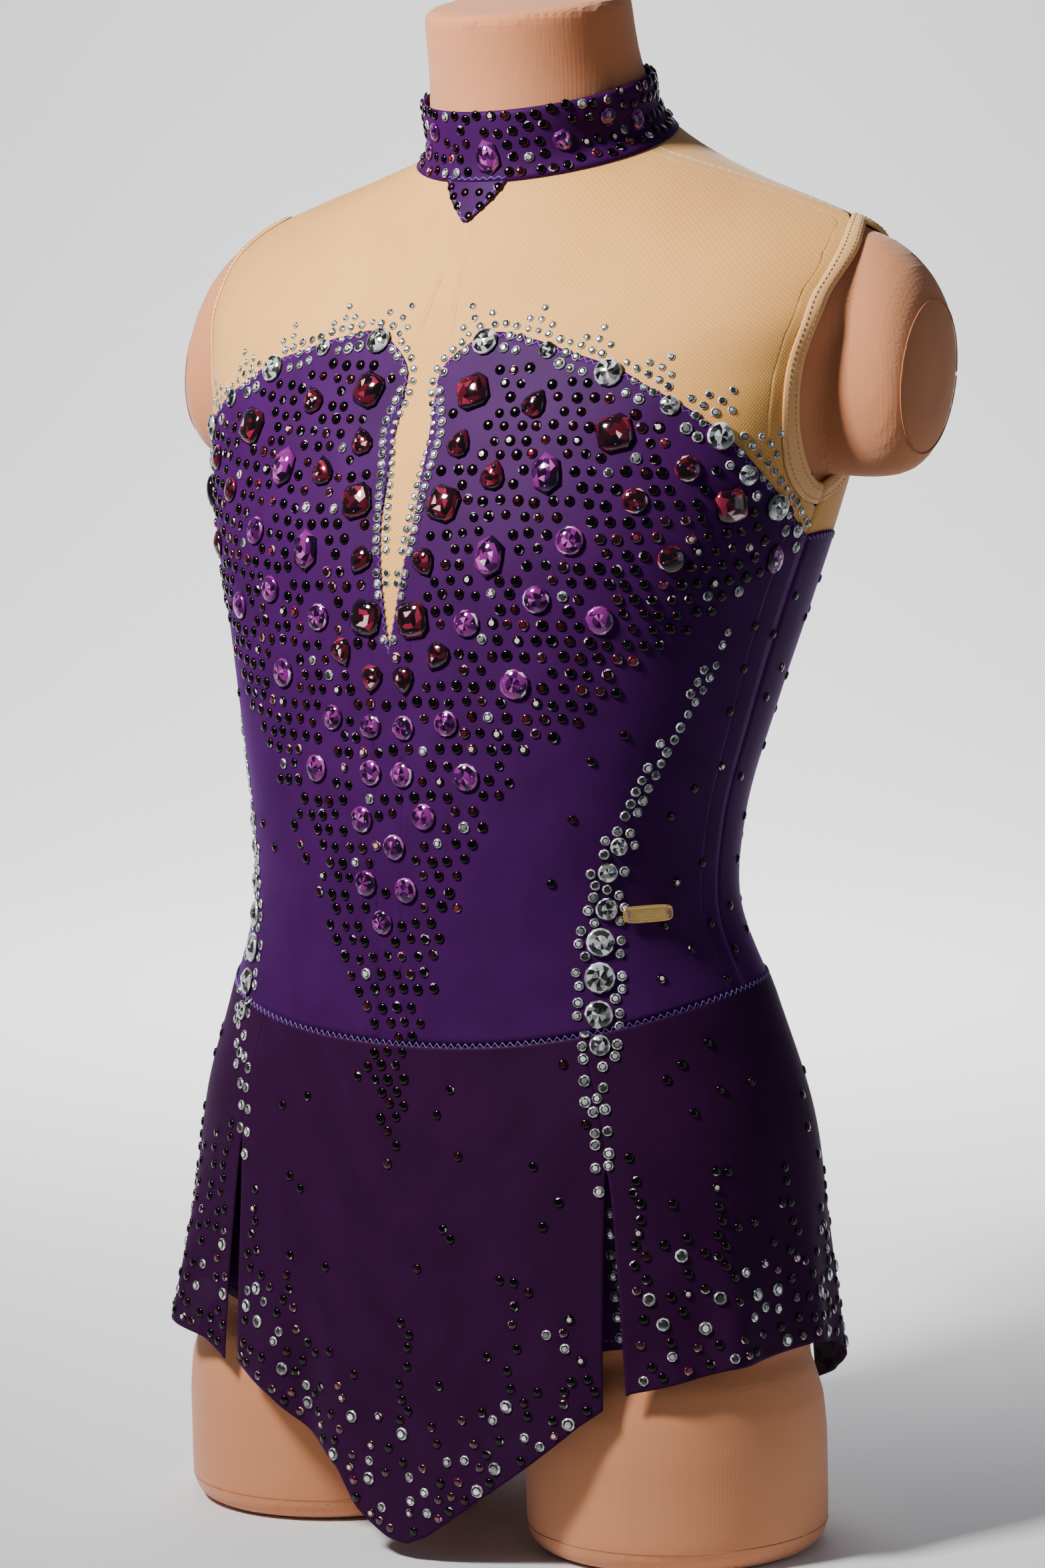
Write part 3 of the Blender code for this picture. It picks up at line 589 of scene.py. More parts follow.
BINDING_PROFILE = table("across offset", (-0.02, 0.75), (0.06, 1.1), (0.3, 1.5), (0.55, 1.6),
                        (0.8, 1.45), (0.95, 0.95), (1.02, 0.2), (0.97, -0.4))
BINDING_THICKNESS = 0.5
STITCH_ROWS = (0.2, 0.72)
STITCH_LIFT = 2.05

# Elastic: ribbed along its length with a dull sheen, a little paler than the mesh beside it
elastic, tree = new_material("nude_folded_elastic")
place = add(tree, "Attribute", {"attribute_name": "cloth"}).outputs["Vector"]
RIB = 0.9
ribs = add(tree, "TexWave", {"wave_type": "BANDS", "bands_direction": "X"}, Vector=place,
           Scale=1 / RIB / BANDS_PER_UNIT, Distortion=0.4)
tone = ramp(tree, ribs.outputs["Fac"], (0.0, "#E0A766"), (1.0, "#EDB877"))
shade(tree, tone, (ribs.outputs["Fac"], 0.2, 0.2), Roughness=0.7, Sheen_Weight=0.2,
      Specular_IOR_Level=0.35)

front_half = curve_through(ARMHOLE, 70)
back_half = front_half[-2:0:-1].copy()
back_half[:, ::2] = 90 + (90 - back_half[:, ::2]) * BACK_ARMHOLE_SPREAD
loop = np.vstack([front_half, back_half])


def binding_line(side, across, offset):
    """Points round an armhole at a share of the way from the binding's seam to its open edge."""
    phi, v = between(loop[:, :2], loop[:, 2:], across).T
    return surface(side * phi, v, offset)


for side, name in ((1, "left"), (-1, "right")):
    strip = np.array([binding_line(side, row["across"], row["offset"]) for row in BINDING_PROFILE])
    strip = np.concatenate([strip, strip[:, :1]], axis=1)[::-1, ::side]
    binding = cloth_piece("armhole_binding_" + name + "_elastic", strip, BINDING_THICKNESS)
    finish(binding, elastic, "nude_binding", "armhole_binding_" + name)
    stitches = []
    for across in STITCH_ROWS:
        line = binding_line(side, across, STITCH_LIFT)
        stitches += dashes(np.vstack([line, line[:1]]), 2.0, 0.8)
    sewing = finish(thread_piece("armhole_stitches_" + name, stitches, 0.22), nude_thread,
                    "nude_binding")

# Stand collar. A doubled band of purple lycra round the neck with a small point sewn below it in
# front. Its ends meet at the centre back.

COLLAR_TOP_V = 690.5
COLLAR_LOW_V = 660.0
COLLAR_BULGE = 0.7
COLLAR_LIFT = 0.9
COLLAR_THICKNESS = 0.8
COLLAR_POINT = table("v half_angle", (641.5, 0.9), (646, 4.0), (651, 7.8), (656, 11.8), (660, 15.4))
phi = np.linspace(-179.7, 179.7, 200)
share = np.linspace(0, 1, 16)[:, None]
collar_v = between(COLLAR_LOW_V, COLLAR_TOP_V, share)
lift = COLLAR_LIFT + COLLAR_BULGE * np.sin(np.pi * share) ** 0.5
collar = cloth_piece("collar_lycra", surface(phi, collar_v, lift + 0 * phi), COLLAR_THICKNESS)
finish(collar, lycra, "purple_lycra", "collar")

point_v = np.linspace(COLLAR_POINT["v"][0], COLLAR_LOW_V + 1, 16)[:, None]
half = np.interp(point_v, COLLAR_POINT["v"], COLLAR_POINT["half_angle"])
points = surface(half * np.linspace(-1, 1, 25), point_v, COLLAR_LIFT)
collar_point = cloth_piece("collar_point_lycra", points, COLLAR_THICKNESS)
finish(collar_point, lycra, "purple_lycra", "collar_point")
point_edge, point_edge_v = [np.concatenate([COLLAR_POINT[key][::-1], sign * COLLAR_POINT[key]])
                            for key, sign in (("half_angle", -1), ("v", 1))]
collar_thread = thread_piece("collar_zigzag_thread", [
    zigzag(point_edge * 0.93, point_edge_v + 1.0, 1.9, 0.7),
    zigzag(np.linspace(-16, 16, 40), np.full(40, COLLAR_LOW_V + 1.5), 2.0, 0.7)])
finish(collar_thread, thread, "purple_lycra")

# Brief. Purple lycra under the skirt, front and back, joined between the legs by a strip. Its leg
# edges are turned under and stitched, and it shows in the skirt's slits.

LEG = table(
    "phi v", (0, 32), (3.6, 32), (3.7, 41), (3.8, 49), (3.95, 57), (4.3, 66), (6.5, 79), (14, 92),
    (25, 101), (37, 106), (48, 109), (59, 111), (70, 112.5), (80, 114), (90, 115.5))
BRIEF_SPREAD = 1.5
BRIEF_COLUMNS = 9
BRIEF_IN = 0.1
LEG_HEM_FROM = 20
LEG_HEM_WIDTH = 5.0


def brief_v(phi, t):
    """Height on the brief: t runs from the waist seam to the leg opening or crotch seam."""
    from_centre = np.degrees(np.arccos(np.abs(np.cos(np.radians(phi)))))
    return between(waist_v(phi), np.interp(from_centre, LEG["phi"], LEG["v"]), t)


leg_phi = np.interp(np.linspace(0, len(LEG) - 1, 1 + BRIEF_COLUMNS * (len(LEG) - 1)),
                    np.arange(len(LEG)), LEG["phi"])
brief_t = 1 - (1 - np.linspace(0, 1, 60)) ** BRIEF_SPREAD
hems = []
for name, turned in (("front", 0), ("back", 180)):
    phi = mirrored(leg_phi) + turned
    points = surface(phi, brief_v(phi, brief_t[::-1, None]), BRIEF_IN)
    brief = cloth_piece("brief_" + name + "_lycra", points, BODICE_THICKNESS)
    finish(brief, lycra, "purple_lycra", "brief_" + name)
    for side in (-1, 1):
        hem_phi = turned + side * np.linspace(LEG_HEM_FROM, 90, 80)
        line = surface(hem_phi, brief_v(hem_phi, 1.0) + LEG_HEM_WIDTH, 1.0)
        hems += dashes(line, 1.8, 0.7)
finish(thread_piece("brief_hem_thread", hems), thread, "purple_lycra")

# Skirt. Four single panels of dark stretch mesh, cut raw at the hem, sewn into the waist seam. The
# front and back ones end in a point; the slits between them open towards the hem.

HANGING = table(
    SECTION_COLUMNS,
    (0,     0,   0,   0, 173, -122, -25, 88, 2.3),
    (50,   50,  50,  50, 172, -121, -25, 85, 2.3),
    (100, 100, 100, 100, 169, -120, -24, 83, 2.3),
    (150, 150, 150, 150, 165, -117, -22, 80, 2.3))
HIP_V = 205
SKIRT_SECTIONS = np.concatenate([HANGING, SECTIONS[SECTIONS["v"] >= HIP_V]])
LEFT_SLIT_PHI = 40.0
RIGHT_SLIT_PHI = -34.0
BACK_SLIT_PHI = 139.0
SLIT_TOP_Z = 190
SLIT_BOTTOM_Z = 80
SLIT_OPENING = 2.4
SLIT_CURVE = 0.6
FRONT_HEM = table(
    "phi z", (-34, 81), (-24, 69), (-16, 55), (-8.5, 39), (-5, 22), (0, 9.5), (2.5, 8), (6, 13),
    (15.5, 34), (26, 54.5), (34.8, 72), (40, 80))
SIDE_HEM = table(
    "phi z", (34, 80), (41, 88), (52.5, 93), (64, 98), (79, 101), (90, 103), (105, 97), (120, 80),
    (139, 64))
BACK_TIP_Z = 14
BACK_CORNER_Z = 60
FOLDS = table(
    "phi width depth top",
    (-24, 6, 2.0, 150), (-14, 4, -5.0, 185), (9, 7, 2.5, 140), (27, 7, 3.0, 160),
    (52, 6, 3.0, 150), (68, 6, 7.0, 185), (92, 6, 6.0, 190), (112, 7, 4.0, 170),
    (129, 5, 2.0, 150), (152, 7, 4.0, 175), (171, 6, -3.0, 150),
    (-53, 9, 12.0, 190), (-73, 7, 7.0, 185), (-95, 6, 6.0, 170), (-118, 7, 6.0, 180),
    (-133, 4, 2.5, 140), (-157, 7, 4.5, 180), (-173, 5, 2.0, 140))
FOLD_GROWTH = 1.5
SKIRT_THICKNESS = 0.6
SKIRT_LIFT = 1.9
SKIRT_ROWS = 110
SKIRT_FLATS = {"front": (0.27, 0.25, 0.050), "back": (0.27, 0.27, 0.054),
               "left": (0.25, 0.21, 0.036), "right": (0.25, 0.21, 0.036)}
SKIRT_SPANS = {"front": (RIGHT_SLIT_PHI, LEFT_SLIT_PHI), "left": (LEFT_SLIT_PHI, BACK_SLIT_PHI),
               "right": (-BACK_SLIT_PHI, RIGHT_SLIT_PHI), "back": (BACK_SLIT_PHI, 360 - BACK_SLIT_PHI)}


def hem_z(base, panel):
    """Height of the skirt's hem: points at the centre front and back, risen at the sides."""
    if panel == "front":
        return np.interp(base, FRONT_HEM["phi"], FRONT_HEM["z"])
    if panel in ("left", "right"):
        return np.interp(np.abs(base), SIDE_HEM["phi"], SIDE_HEM["z"])
    share = np.sin(np.radians(np.abs(180 - base))) / np.sin(np.radians(180 - BACK_SLIT_PHI))
    return between(BACK_TIP_Z, BACK_CORNER_Z, share)


def fold_depth(phi, v, hem):
    """Outward shift of the skirt by its soft folds, full at the hem and none at their tops."""
    turned = (phi + 180) % 360 - 180
    total = np.zeros(np.broadcast_shapes(phi.shape, v.shape))
    for fold in FOLDS:
        top = fold["top"]
        distance = (turned - fold["phi"] + 180) % 360 - 180
        growth = np.clip((top - v) / (top - hem), 0, 1) ** FOLD_GROWTH
        total = total + fold["depth"] * growth * np.exp(-(distance / fold["width"]) ** 2)
    return total


def slit_opening(v):
    """Half the angle by which a slit stands open at height v."""
    share = np.clip((SLIT_TOP_Z - v) / (SLIT_TOP_Z - SLIT_BOTTOM_Z), 0, 1)
    return SLIT_OPENING * share ** SLIT_CURVE


def skirt_surface(panel, base, v, lift=0.0):
    """Point of a skirt panel: base is its angle at the waist, and the slits draw it in below."""
    start, end = SKIRT_SPANS[panel]
    across = (base - start) / (end - start)
    opening = slit_opening(v)
    phi = base + opening * (1 - 2 * across)
    offset = SKIRT_LIFT + lift + fold_depth(phi, v, hem_z(base, panel))
    return surface(phi, v, offset, SKIRT_SECTIONS)


# Skirt mesh: fine stretch tulle, dark plum, see-through enough for the legs to warm it at the hem
skirt_mesh, tree = new_material("dark_plum_stretch_mesh")
place = add(tree, "Attribute", {"attribute_name": "cloth"}).outputs["Vector"]
TULLE_SPACING = 1.3
cells = add(tree, "TexVoronoi", {"feature": "DISTANCE_TO_EDGE"}, Vector=place, Scale=1 / TULLE_SPACING)
cloud = add(tree, "TexNoise", Vector=place, Scale=0.03, Detail=3.0)
tone = ramp(tree, cloud.outputs["Fac"], (0.3, "#28082A"), (0.7, "#300B33"))
shade(tree, tone, (cells.outputs["Distance"], 0.2, 0.2), Roughness=0.6, Alpha=0.94,
      Sheen_Weight=0.15, Sheen_Roughness=0.4, Sheen_Tint=linear("#7A3090"),
      Specular_IOR_Level=0.06)

for panel, (start, end) in SKIRT_SPANS.items():
    base = np.linspace(start, end, 130)
    hem = hem_z(base, panel)
    down = np.linspace(0, 1, SKIRT_ROWS)[:, None]
    v = between(hem, waist_v(base) - 0.5, down)
    skirt = cloth_piece("skirt_" + panel + "_mesh", skirt_surface(panel, base, v), SKIRT_THICKNESS)
    finish(skirt, skirt_mesh, "skirt_mesh", "skirt_" + panel)
    width, length, area = SKIRT_FLATS[panel]

# Stones. Foiled glass: small flat-back rounds glued on, and larger round, square, long and
# drop-shaped ones sewn on through two holes. Dark ones cover the bust and run down in a point;
# clear ones follow the top edge, the slit and two streams over the waist.

rng = np.random.default_rng(7)
SINK = 0.1
SPOT_STEP_PHI, SPOT_STEP_V = 0.3, 0.5


def cut_stone(outline, rings):
    """Faceted stone on a unit outline: each ring of the cut is the outline scaled and raised.

    Rings are (scale, height, turned), where turned moves a ring by half a facet. Triangles join
    neighbouring rings, and a fan closes the top and the flat back.
    """
    outline = np.asarray(outline, float)
    count, top = len(outline), len(rings) - 1
    halfway = (outline + np.roll(outline, -1, axis=0)) / 2
    halfway *= np.linalg.norm(outline, axis=1).mean() / np.linalg.norm(halfway, axis=1).mean()
    points = [np.column_stack([(halfway if turned else outline) * scale, np.full(count, height)])
              for scale, height, turned in rings]
    faces, shift = [], np.arange(count)
    for level in range(1, top + 1):
        low, high = (level - 1) * count + shift, level * count + shift
        low_after, high_after = [ring - shift + (shift + 1) % count for ring in (low, high)]
        if rings[level][2] and not rings[level - 1][2]:
            faces += [np.stack([low, low_after, high], 1), np.stack([high, low_after, high_after], 1)]
        else:
            faces += [np.stack([low, low_after, high_after], 1), np.stack([low, high_after, high], 1)]
    fan = np.arange(1, count - 1)
    faces += [np.stack([0 * fan, fan + 1, fan], 1),
              top * count + np.stack([0 * fan, fan, fan + 1], 1)]
    levels = np.repeat([*range(top), 0, top], [2 * count] * top + [count - 2] * 2)
    numbers = np.append(np.tile(shift, 2 * top), np.zeros(2 * (count - 2), int))
    return np.concatenate(points), np.concatenate(faces), levels, numbers


def regular(count):
    """Regular outline with count corners."""
    angle = np.linspace(0, 2 * np.pi, count, endpoint=False) + np.pi / count
    return np.column_stack([np.cos(angle), np.sin(angle)])


CUTS = {
    "round": cut_stone(regular(8), ((0.95, 0.0, False), (1.0, 0.18, False), (0.77, 0.38, True),
                                    (0.48, 0.48, False))),
    "rivoli": cut_stone(regular(12), ((0.94, 0.0, False), (1.0, 0.16, False), (0.86, 0.28, True),
                                      (0.5, 0.41, False), (0.05, 0.5, True))),
    "square": cut_stone([(0.58, -1), (1, -0.58), (1, 0.58), (0.58, 1), (-0.58, 1), (-1, 0.58),
                         (-1, -0.58), (-0.58, -1)],
                        ((0.95, 0.0, False), (1.0, 0.14, False), (0.76, 0.34, True),
                         (0.48, 0.45, False), (0.2, 0.5, True))),
    "long": cut_stone([(0, -1.25), (0.8, -0.72), (0.86, 0), (0.8, 0.72), (0, 1.25), (-0.8, 0.72),
                       (-0.86, 0), (-0.8, -0.72)],
                      ((0.95, 0.0, False), (1.0, 0.14, False), (0.74, 0.34, True),
                       (0.46, 0.45, False), (0.2, 0.5, True))),
    "drop": cut_stone([(0, -1.2), (0.58, -0.66), (0.92, 0), (0.86, 0.56), (0.42, 0.95),
                       (-0.42, 0.95), (-0.86, 0.56), (-0.92, 0), (-0.58, -0.66)],
                      ((0.95, 0.0, False), (1.0, 0.16, False), (0.72, 0.37, True),
                       (0.42, 0.47, False), (0.15, 0.52, True))),
    "bead": cut_stone(regular(6), ((1.0, -0.5, False), (1.0, 0.35, False), (0.5, 0.8, True)))}

# Painted reflections of the sewn cuts: the lowest glint and its span for the girdle, three rings of facets
# and the table
SEWN_TONES = ((0.3, 0.4), (0.1, 0.75), (0.0, 0.95), (0.1, 0.9), (0.2, 0.5))
# Painted reflections, level by level: the lowest glint and its span for the girdle, a rim painted bright,
# a ring or crown painted dark, and the table
TONES = {"round": ((0.3, 0.4), (0.42, 0.58), (0.0, 0.5), (0.3, 0.7)),
         "rivoli": ((0.3, 0.4), (0.35, 0.65), (0.0, 0.8), (0.05, 0.85), (0.5, 0.5)),
         "square": SEWN_TONES, "long": SEWN_TONES, "drop": SEWN_TONES}


def set_stones(cut, spots, radius, turned=None):
    """Copies of one cut at the spots (point, across, up, out): each is scaled and turned there.

    A stone's heights are shares of its radius. The painted glint attribute is one number a facet: the tone
    of its painted reflection.
    """
    unit, faces, levels, numbers = CUTS[cut]
    point, across, up, out = spots
    radius = np.broadcast_to(np.asarray(radius, float), len(point))[:, None, None]
    turned = rng.uniform(0, 2 * np.pi, len(point)) if turned is None else np.asarray(turned, float)
    cosine, sine = np.cos(turned)[:, None, None], np.sin(turned)[:, None, None]
    x, y, z = unit[None, :, :1], unit[None, :, 1:2], unit[None, :, 2:]
    local_x, local_y = x * cosine - y * sine, x * sine + y * cosine
    points = point[:, None] + radius * (local_x * across[:, None] + local_y * up[:, None]
                                        + z * out[:, None])
    index = faces[None] + (np.arange(len(point)) * len(unit))[:, None, None]
    # Painted reflections: a random tone for each facet, shared by its triangles, then kept in its level's
    # range
    painted_glint = rng.beta(0.7, 0.7, (len(point), levels.max() + 1, numbers.max() + 1))[:, levels, numbers]
    if cut in TONES:
        low, span = np.array(TONES[cut])[levels].T
        painted_glint = low + span * painted_glint
    return points.reshape(-1, 3), index.reshape(-1, 3), painted_glint.ravel()


def stone_piece(name, groups, material, slot):
    """One piece from several groups of stones, each its points, faces and painted glints, the facets'
    painted reflection tones.
    """
    painted_glints = np.concatenate([painted_glint for _, _, painted_glint in groups])
    piece = together(name, [group[:2] for group in groups], [("painted_glint", "FACE", "FLOAT", "value", painted_glints)])
    return finish(piece, material, slot, smooth=False)


def spots_on(place, a, b):
    """Point, across, up and outward directions of a sheet's outer face at its places (a, b)."""
    a, b = np.asarray(a, float), np.asarray(b, float)
    point = place(a, b)
    across = place(a + SPOT_STEP_PHI, b) - place(a - SPOT_STEP_PHI, b)
    up = place(a, b + SPOT_STEP_V) - place(a, b - SPOT_STEP_V)
    out = np.cross(across, up)
    out /= np.linalg.norm(out, axis=-1, keepdims=True)
    across /= np.linalg.norm(across, axis=-1, keepdims=True)
    return point, across, np.cross(out, across), out


def face_at(lift):
    """The outer face of a sheet that lies this far off the form, as a function of its places."""
    return lambda phi, v: surface(phi, v, lift)


COLLAR_FACE, COLLAR_POINT_FACE, BRIEF_FACE = 2.2, 1.6, 0.8
on_bodice, on_yoke, on_brief = face_at(BODICE_OUT - SINK), face_at(YOKE_OUT), face_at(BRIEF_FACE)
on_collar, on_collar_point = face_at(COLLAR_FACE), face_at(COLLAR_POINT_FACE)


def on_front(phi, v):
    """Outer face of the bodice above the waist seam, and of the front skirt below it."""
    below = skirt_surface("front", phi, v, SKIRT_THICKNESS - SINK)
    return np.where((v > waist_v(phi))[..., None], on_bodice(phi, v), below)


def foiled_glass(name, roughness, metallic, coat, *stops):
    """Foiled glass with painted reflections: each facet's colour is taken from the stops by its painted
    glint, in place of the part of the room it would mirror.
    """
    material, tree = new_material(name)
    painted_glint = add(tree, "Attribute", {"attribute_name": "painted_glint"}).outputs["Fac"]
    tone = ramp(tree, painted_glint, *stops)
    shade(tree, tone, Metallic=metallic, Roughness=roughness, Specular_IOR_Level=0.5 * coat,
          Coat_Weight=coat, Coat_Roughness=0.04, IOR=1.55)
    tone.node.color_ramp.interpolation = "CONSTANT"
    return material


# Ramp stops of each glass: painted reflections from dark to light, the top one a painted highlight; the
# dark stops of the black, garnet and amethyst glass are also its own colour
black_glass = foiled_glass(
    "black_foiled_glass", 0.1, 0.3, 0.35,
    (0.0, "#020102"), (0.4, "#080305"), (0.7, "#16050A"), (0.9, "#3C0A17"), (0.985, "#E9D4D8"))
clear_glass = foiled_glass(
    "clear_foiled_glass", 0.12, 0.45, 1.0,
    (0.0, "#121312"), (0.2, "#3A3C39"), (0.4, "#84867F"), (0.6, "#C9C9C2"), (0.78, "#FFFFFF"))
garnet_glass = foiled_glass(
    "garnet_foiled_glass", 0.1, 0.4, 1.0,
    (0.0, "#0B0104"), (0.3, "#22030B"), (0.6, "#520A1B"), (0.82, "#94203A"), (0.94, "#FFC0C6"))
amethyst_glass = foiled_glass(
    "amethyst_foiled_glass", 0.1, 0.4, 0.8,
    (0.0, "#1A0420"), (0.25, "#480D50"), (0.52, "#86267F"), (0.8, "#C860B4"), (0.95, "#FFDCFA"))

# Places taken so far, so that no two stones touch
taken = {"points": np.zeros((0, 3)), "radii": np.zeros(0)}
stones = {"black": [], "clear": [], "garnet": [], "amethyst": [], "thread": []}
HOLE_PLACE = {"rivoli": 0.62, "square": 0.68, "long": 0.8, "drop": 0.66}
HOLE_MIN_RADIUS = 4.6
BEAD_RADIUS = 0.55
BEAD_LIFT = 0.34


def sew(colour, cut, place, a, b, radius, gap=0.4, turned=None):
    """Add stones of one colour and cut, each where it keeps the gap to the stones before it.

    Large ones get a bead of thread at their two sewing holes.
    """
    a, b = np.atleast_1d(np.asarray(a, float)), np.atleast_1d(np.asarray(b, float))
    if not len(a):
        return
    radius = np.broadcast_to(np.asarray(radius, float), len(a))
    point, across, up, out = spots_on(place, a, b)
    kept = np.zeros(len(a), bool)
    for i in range(len(a)):
        distance = np.linalg.norm(taken["points"] - point[i], axis=1)
        kept[i] = (distance > taken["radii"] + radius[i] + gap).all()
        if kept[i]:
            taken["points"] = np.vstack([taken["points"], point[i]])
            taken["radii"] = np.append(taken["radii"], radius[i])
    if not kept.any():
        return
    angle = None if turned is None else np.broadcast_to(turned, len(a))[kept]
    spots = [part[kept] for part in (point, across, up, out)]
    stones[colour].append(set_stones(cut, spots, radius[kept], angle))
    if cut in HOLE_PLACE and turned is not None and radius[0] >= HOLE_MIN_RADIUS:
        reach = (radius[kept] * HOLE_PLACE[cut])[:, None]
        along = spots[2] * np.cos(angle)[:, None] - spots[1] * np.sin(angle)[:, None]
        for way in (-1, 1):
            hole = spots[0] + way * reach * along + spots[3] * radius[kept][:, None] * BEAD_LIFT
            stones["thread"].append(set_stones("bead", [hole] + spots[1:], BEAD_RADIUS, angle))


def sew_mix(mix, place, a, b, radius, pick, gap):
    """Add round stones in mixed colours: each takes the first row of mix whose share reaches pick.

    Rows are (colour, size, share), where size scales the stone's radius.
    """
    low = 0.0
    for colour, size, high in mix:
        chosen = (pick >= low) & ((pick < high) | (high == 1.0))
        sew(colour, "round", place, a[chosen], b[chosen], size * radius[chosen], gap)
        low = high


# Large sewn stones of the bust, mirrored about the slit: distance from the centre, height, radius
# and turn, in degrees for the long, square and drop cuts and in radians for the round one
BUST_STONES = (
    ("garnet", "square", 30, 564, 8.4, 20), ("garnet", "square", 25, 507, 8.4, -15),
    ("garnet", "square", 13.5, 451, 8.4, 10), ("garnet", "square", 106, 540, 8.6, 12),
    ("garnet", "square", 165, 501, 8.2, 5), ("garnet", "drop", 28, 536, 6.6, 160),
    ("garnet", "drop", 64, 557, 6.6, 150), ("garnet", "drop", 49, 520, 6.8, 170),
    ("garnet", "drop", 18, 480, 6.6, 30), ("garnet", "rivoli", 120, 507, 6.2, 0.4),
    ("garnet", "rivoli", 142, 520, 6.2, 1.1), ("garnet", "drop", 28, 434, 6.6, -30),
    ("garnet", "drop", 9, 422, 6.4, 8), ("amethyst", "long", 76, 521, 8.2, 6),
    ("amethyst", "long", 53, 483, 8.2, -8), ("amethyst", "rivoli", 92, 490, 6.9, 0.9),
    ("amethyst", "rivoli", 77, 462, 6.6, 2.1), ("amethyst", "rivoli", 43, 450, 6.6, 1.6),
    ("amethyst", "rivoli", 107, 451, 6.8, 0.6), ("garnet", "rivoli", 139, 479, 6.6, 1.9),
    ("amethyst", "long", 195, 472, 6.2, 0), ("amethyst", "rivoli", 67, 421, 7.2, 1.2),
    ("amethyst", "rivoli", 33, 402, 6.2, 0.2), ("amethyst", "rivoli", 9.5, 399, 6.0, 1.0),
    ("amethyst", "rivoli", 43, 377, 6.7, 1.7), ("amethyst", "rivoli", 9, 377, 6.2, 0.7))
CENTRE_STONES = (
    ("amethyst", "rivoli", 21, 358, 6.4, 0.5), ("amethyst", "rivoli", -14, 355, 6.4, 1.4),
    ("amethyst", "rivoli", 5, 343, 6.2, 2.2), ("amethyst", "rivoli", 11, 323, 6.2, 0.9),
    ("amethyst", "rivoli", -12, 325, 6.4, 1.8), ("amethyst", "rivoli", -3, 307, 6.0, 0.3))
for colour, cut, arc, v, radius, angle in BUST_STONES:
    for side in (1, -1):
        turned = side * angle if cut == "rivoli" else math.radians(side * angle)
        sew(colour, cut, on_bodice, phi_at(side * arc, v), v, radius, turned=turned)
for colour, cut, arc, v, radius, angle in CENTRE_STONES:
    sew(colour, cut, on_bodice, phi_at(arc, v), v, radius, turned=angle)

# Clear stones of the top edge: large ones first, then three close rows and small fans above. Rows
# are arc, height and radius
EDGE_STONES = ((31, 589, 6.8), (65, 584, 4.4), (98, 571, 7.0), (130, 552, 4.8), (155, 534, 6.6),
               (172, 514, 5.0), (191, 497, 6.8), (209, 484, 4.0))
for arc, v, radius in EDGE_STONES:
    for side in (1, -1):
        sew("clear", "rivoli", on_bodice, phi_at(side * arc, v), v, radius, turned=0.4 * radius)

edge_points = surface(edge_phi, edge_v)
edge_length = np.append(0, np.cumsum(np.linalg.norm(np.diff(edge_points, axis=0), axis=1)))
slit_length = np.interp(6.5, edge_phi, edge_length)


def per_degree(phi, v):
    """Millimetres round the body for one degree there."""
    return np.linalg.norm(surface(phi + 0.5, v) - surface(phi - 0.5, v), axis=-1)


def beside_edge(along, away):
    """Angle and height at a length along the top edge, moved by away off the cloth's side."""
    step = 2.0
    at = [(np.interp(length, edge_length, edge_phi), np.interp(length, edge_length, edge_v))
          for length in (along - step, along, along + step)]
    (phi_0, v_0), (phi, v), (phi_1, v_1) = at
    run, climb = (phi_1 - phi_0) * per_degree(phi, v), v_1 - v_0
    size = np.hypot(run, climb)
    return phi - away * climb / size / per_degree(phi, v), v + away * run / size


for away, step, radius, place in ((-1.2, 5.4, 2.25, on_bodice), (-7.0, 6.6, 2.75, on_bodice),
                                  (4.2, 5.9, 2.1, on_yoke)):
    along = np.arange(slit_length, edge_length[-1], step)
    along = along + rng.uniform(-0.4, 0.4, len(along))
    phi, v = beside_edge(along, away + rng.uniform(-0.5, 0.5, len(along)))
    for side in (1, -1):
        sew("clear", "round", place, side * phi, v, radius * rng.choice([0.85, 1.0, 1.12], len(phi)))
for start in np.arange(slit_length + 4, edge_length[-1] - 8, 31):
    for shift, away in ((-5.5, 9.0), (0.5, 9.8), (6.5, 9.0), (1.0, 15.5)):
        phi, v = beside_edge(start + shift, away)
        for side in (1, -1):
            sew("clear", "round", on_yoke, side * phi, v, 1.95)

# Clear stones down both sides of the slit, with two small bridges across it
along = np.arange(5, slit_length - 2, 5.2)
for away, place, radius in ((-2.0, on_bodice, 2.3), (3.2, on_yoke, 2.15)):
    phi, v = beside_edge(along, away)
    for side in (1, -1):
        keep = (phi > 0.75) | (away < 0)
        sew("clear", "round", place, side * phi[keep], v[keep], radius, gap=0.25)
for v in (497, 492, 474, 469):
    sew("clear", "round", on_yoke, [-0.5, 0.5], [v, v], 1.9, gap=0.2)

# The two streams of clear stones over the waist, which go on as ladders down to the slits
STREAM_COLUMNS = "v phi width"
LEFT_STREAM = table(
    STREAM_COLUMNS,
    (180, 38.7, 4), (204, 39.6, 5), (222, 40.2, 8), (240, 41.5, 9), (261, 44, 10), (285, 48, 10),
    (313, 52, 10), (325, 53, 10), (348, 56, 9), (371, 60, 8.5), (392, 64, 7.5), (407, 68, 6),
    (426, 72, 4.5), (439, 74, 2))
RIGHT_STREAM = table(
    STREAM_COLUMNS,
    (180, 32.7, 4), (204, 34, 5), (222, 37.5, 8), (240, 42, 9), (261, 46.5, 10), (285, 48.5, 10),
    (305, 53, 11), (325, 54.5, 10), (348, 57, 9), (371, 60, 8), (392, 64, 6.5), (407, 68, 5),
    (426, 72, 3), (439, 74, 1))
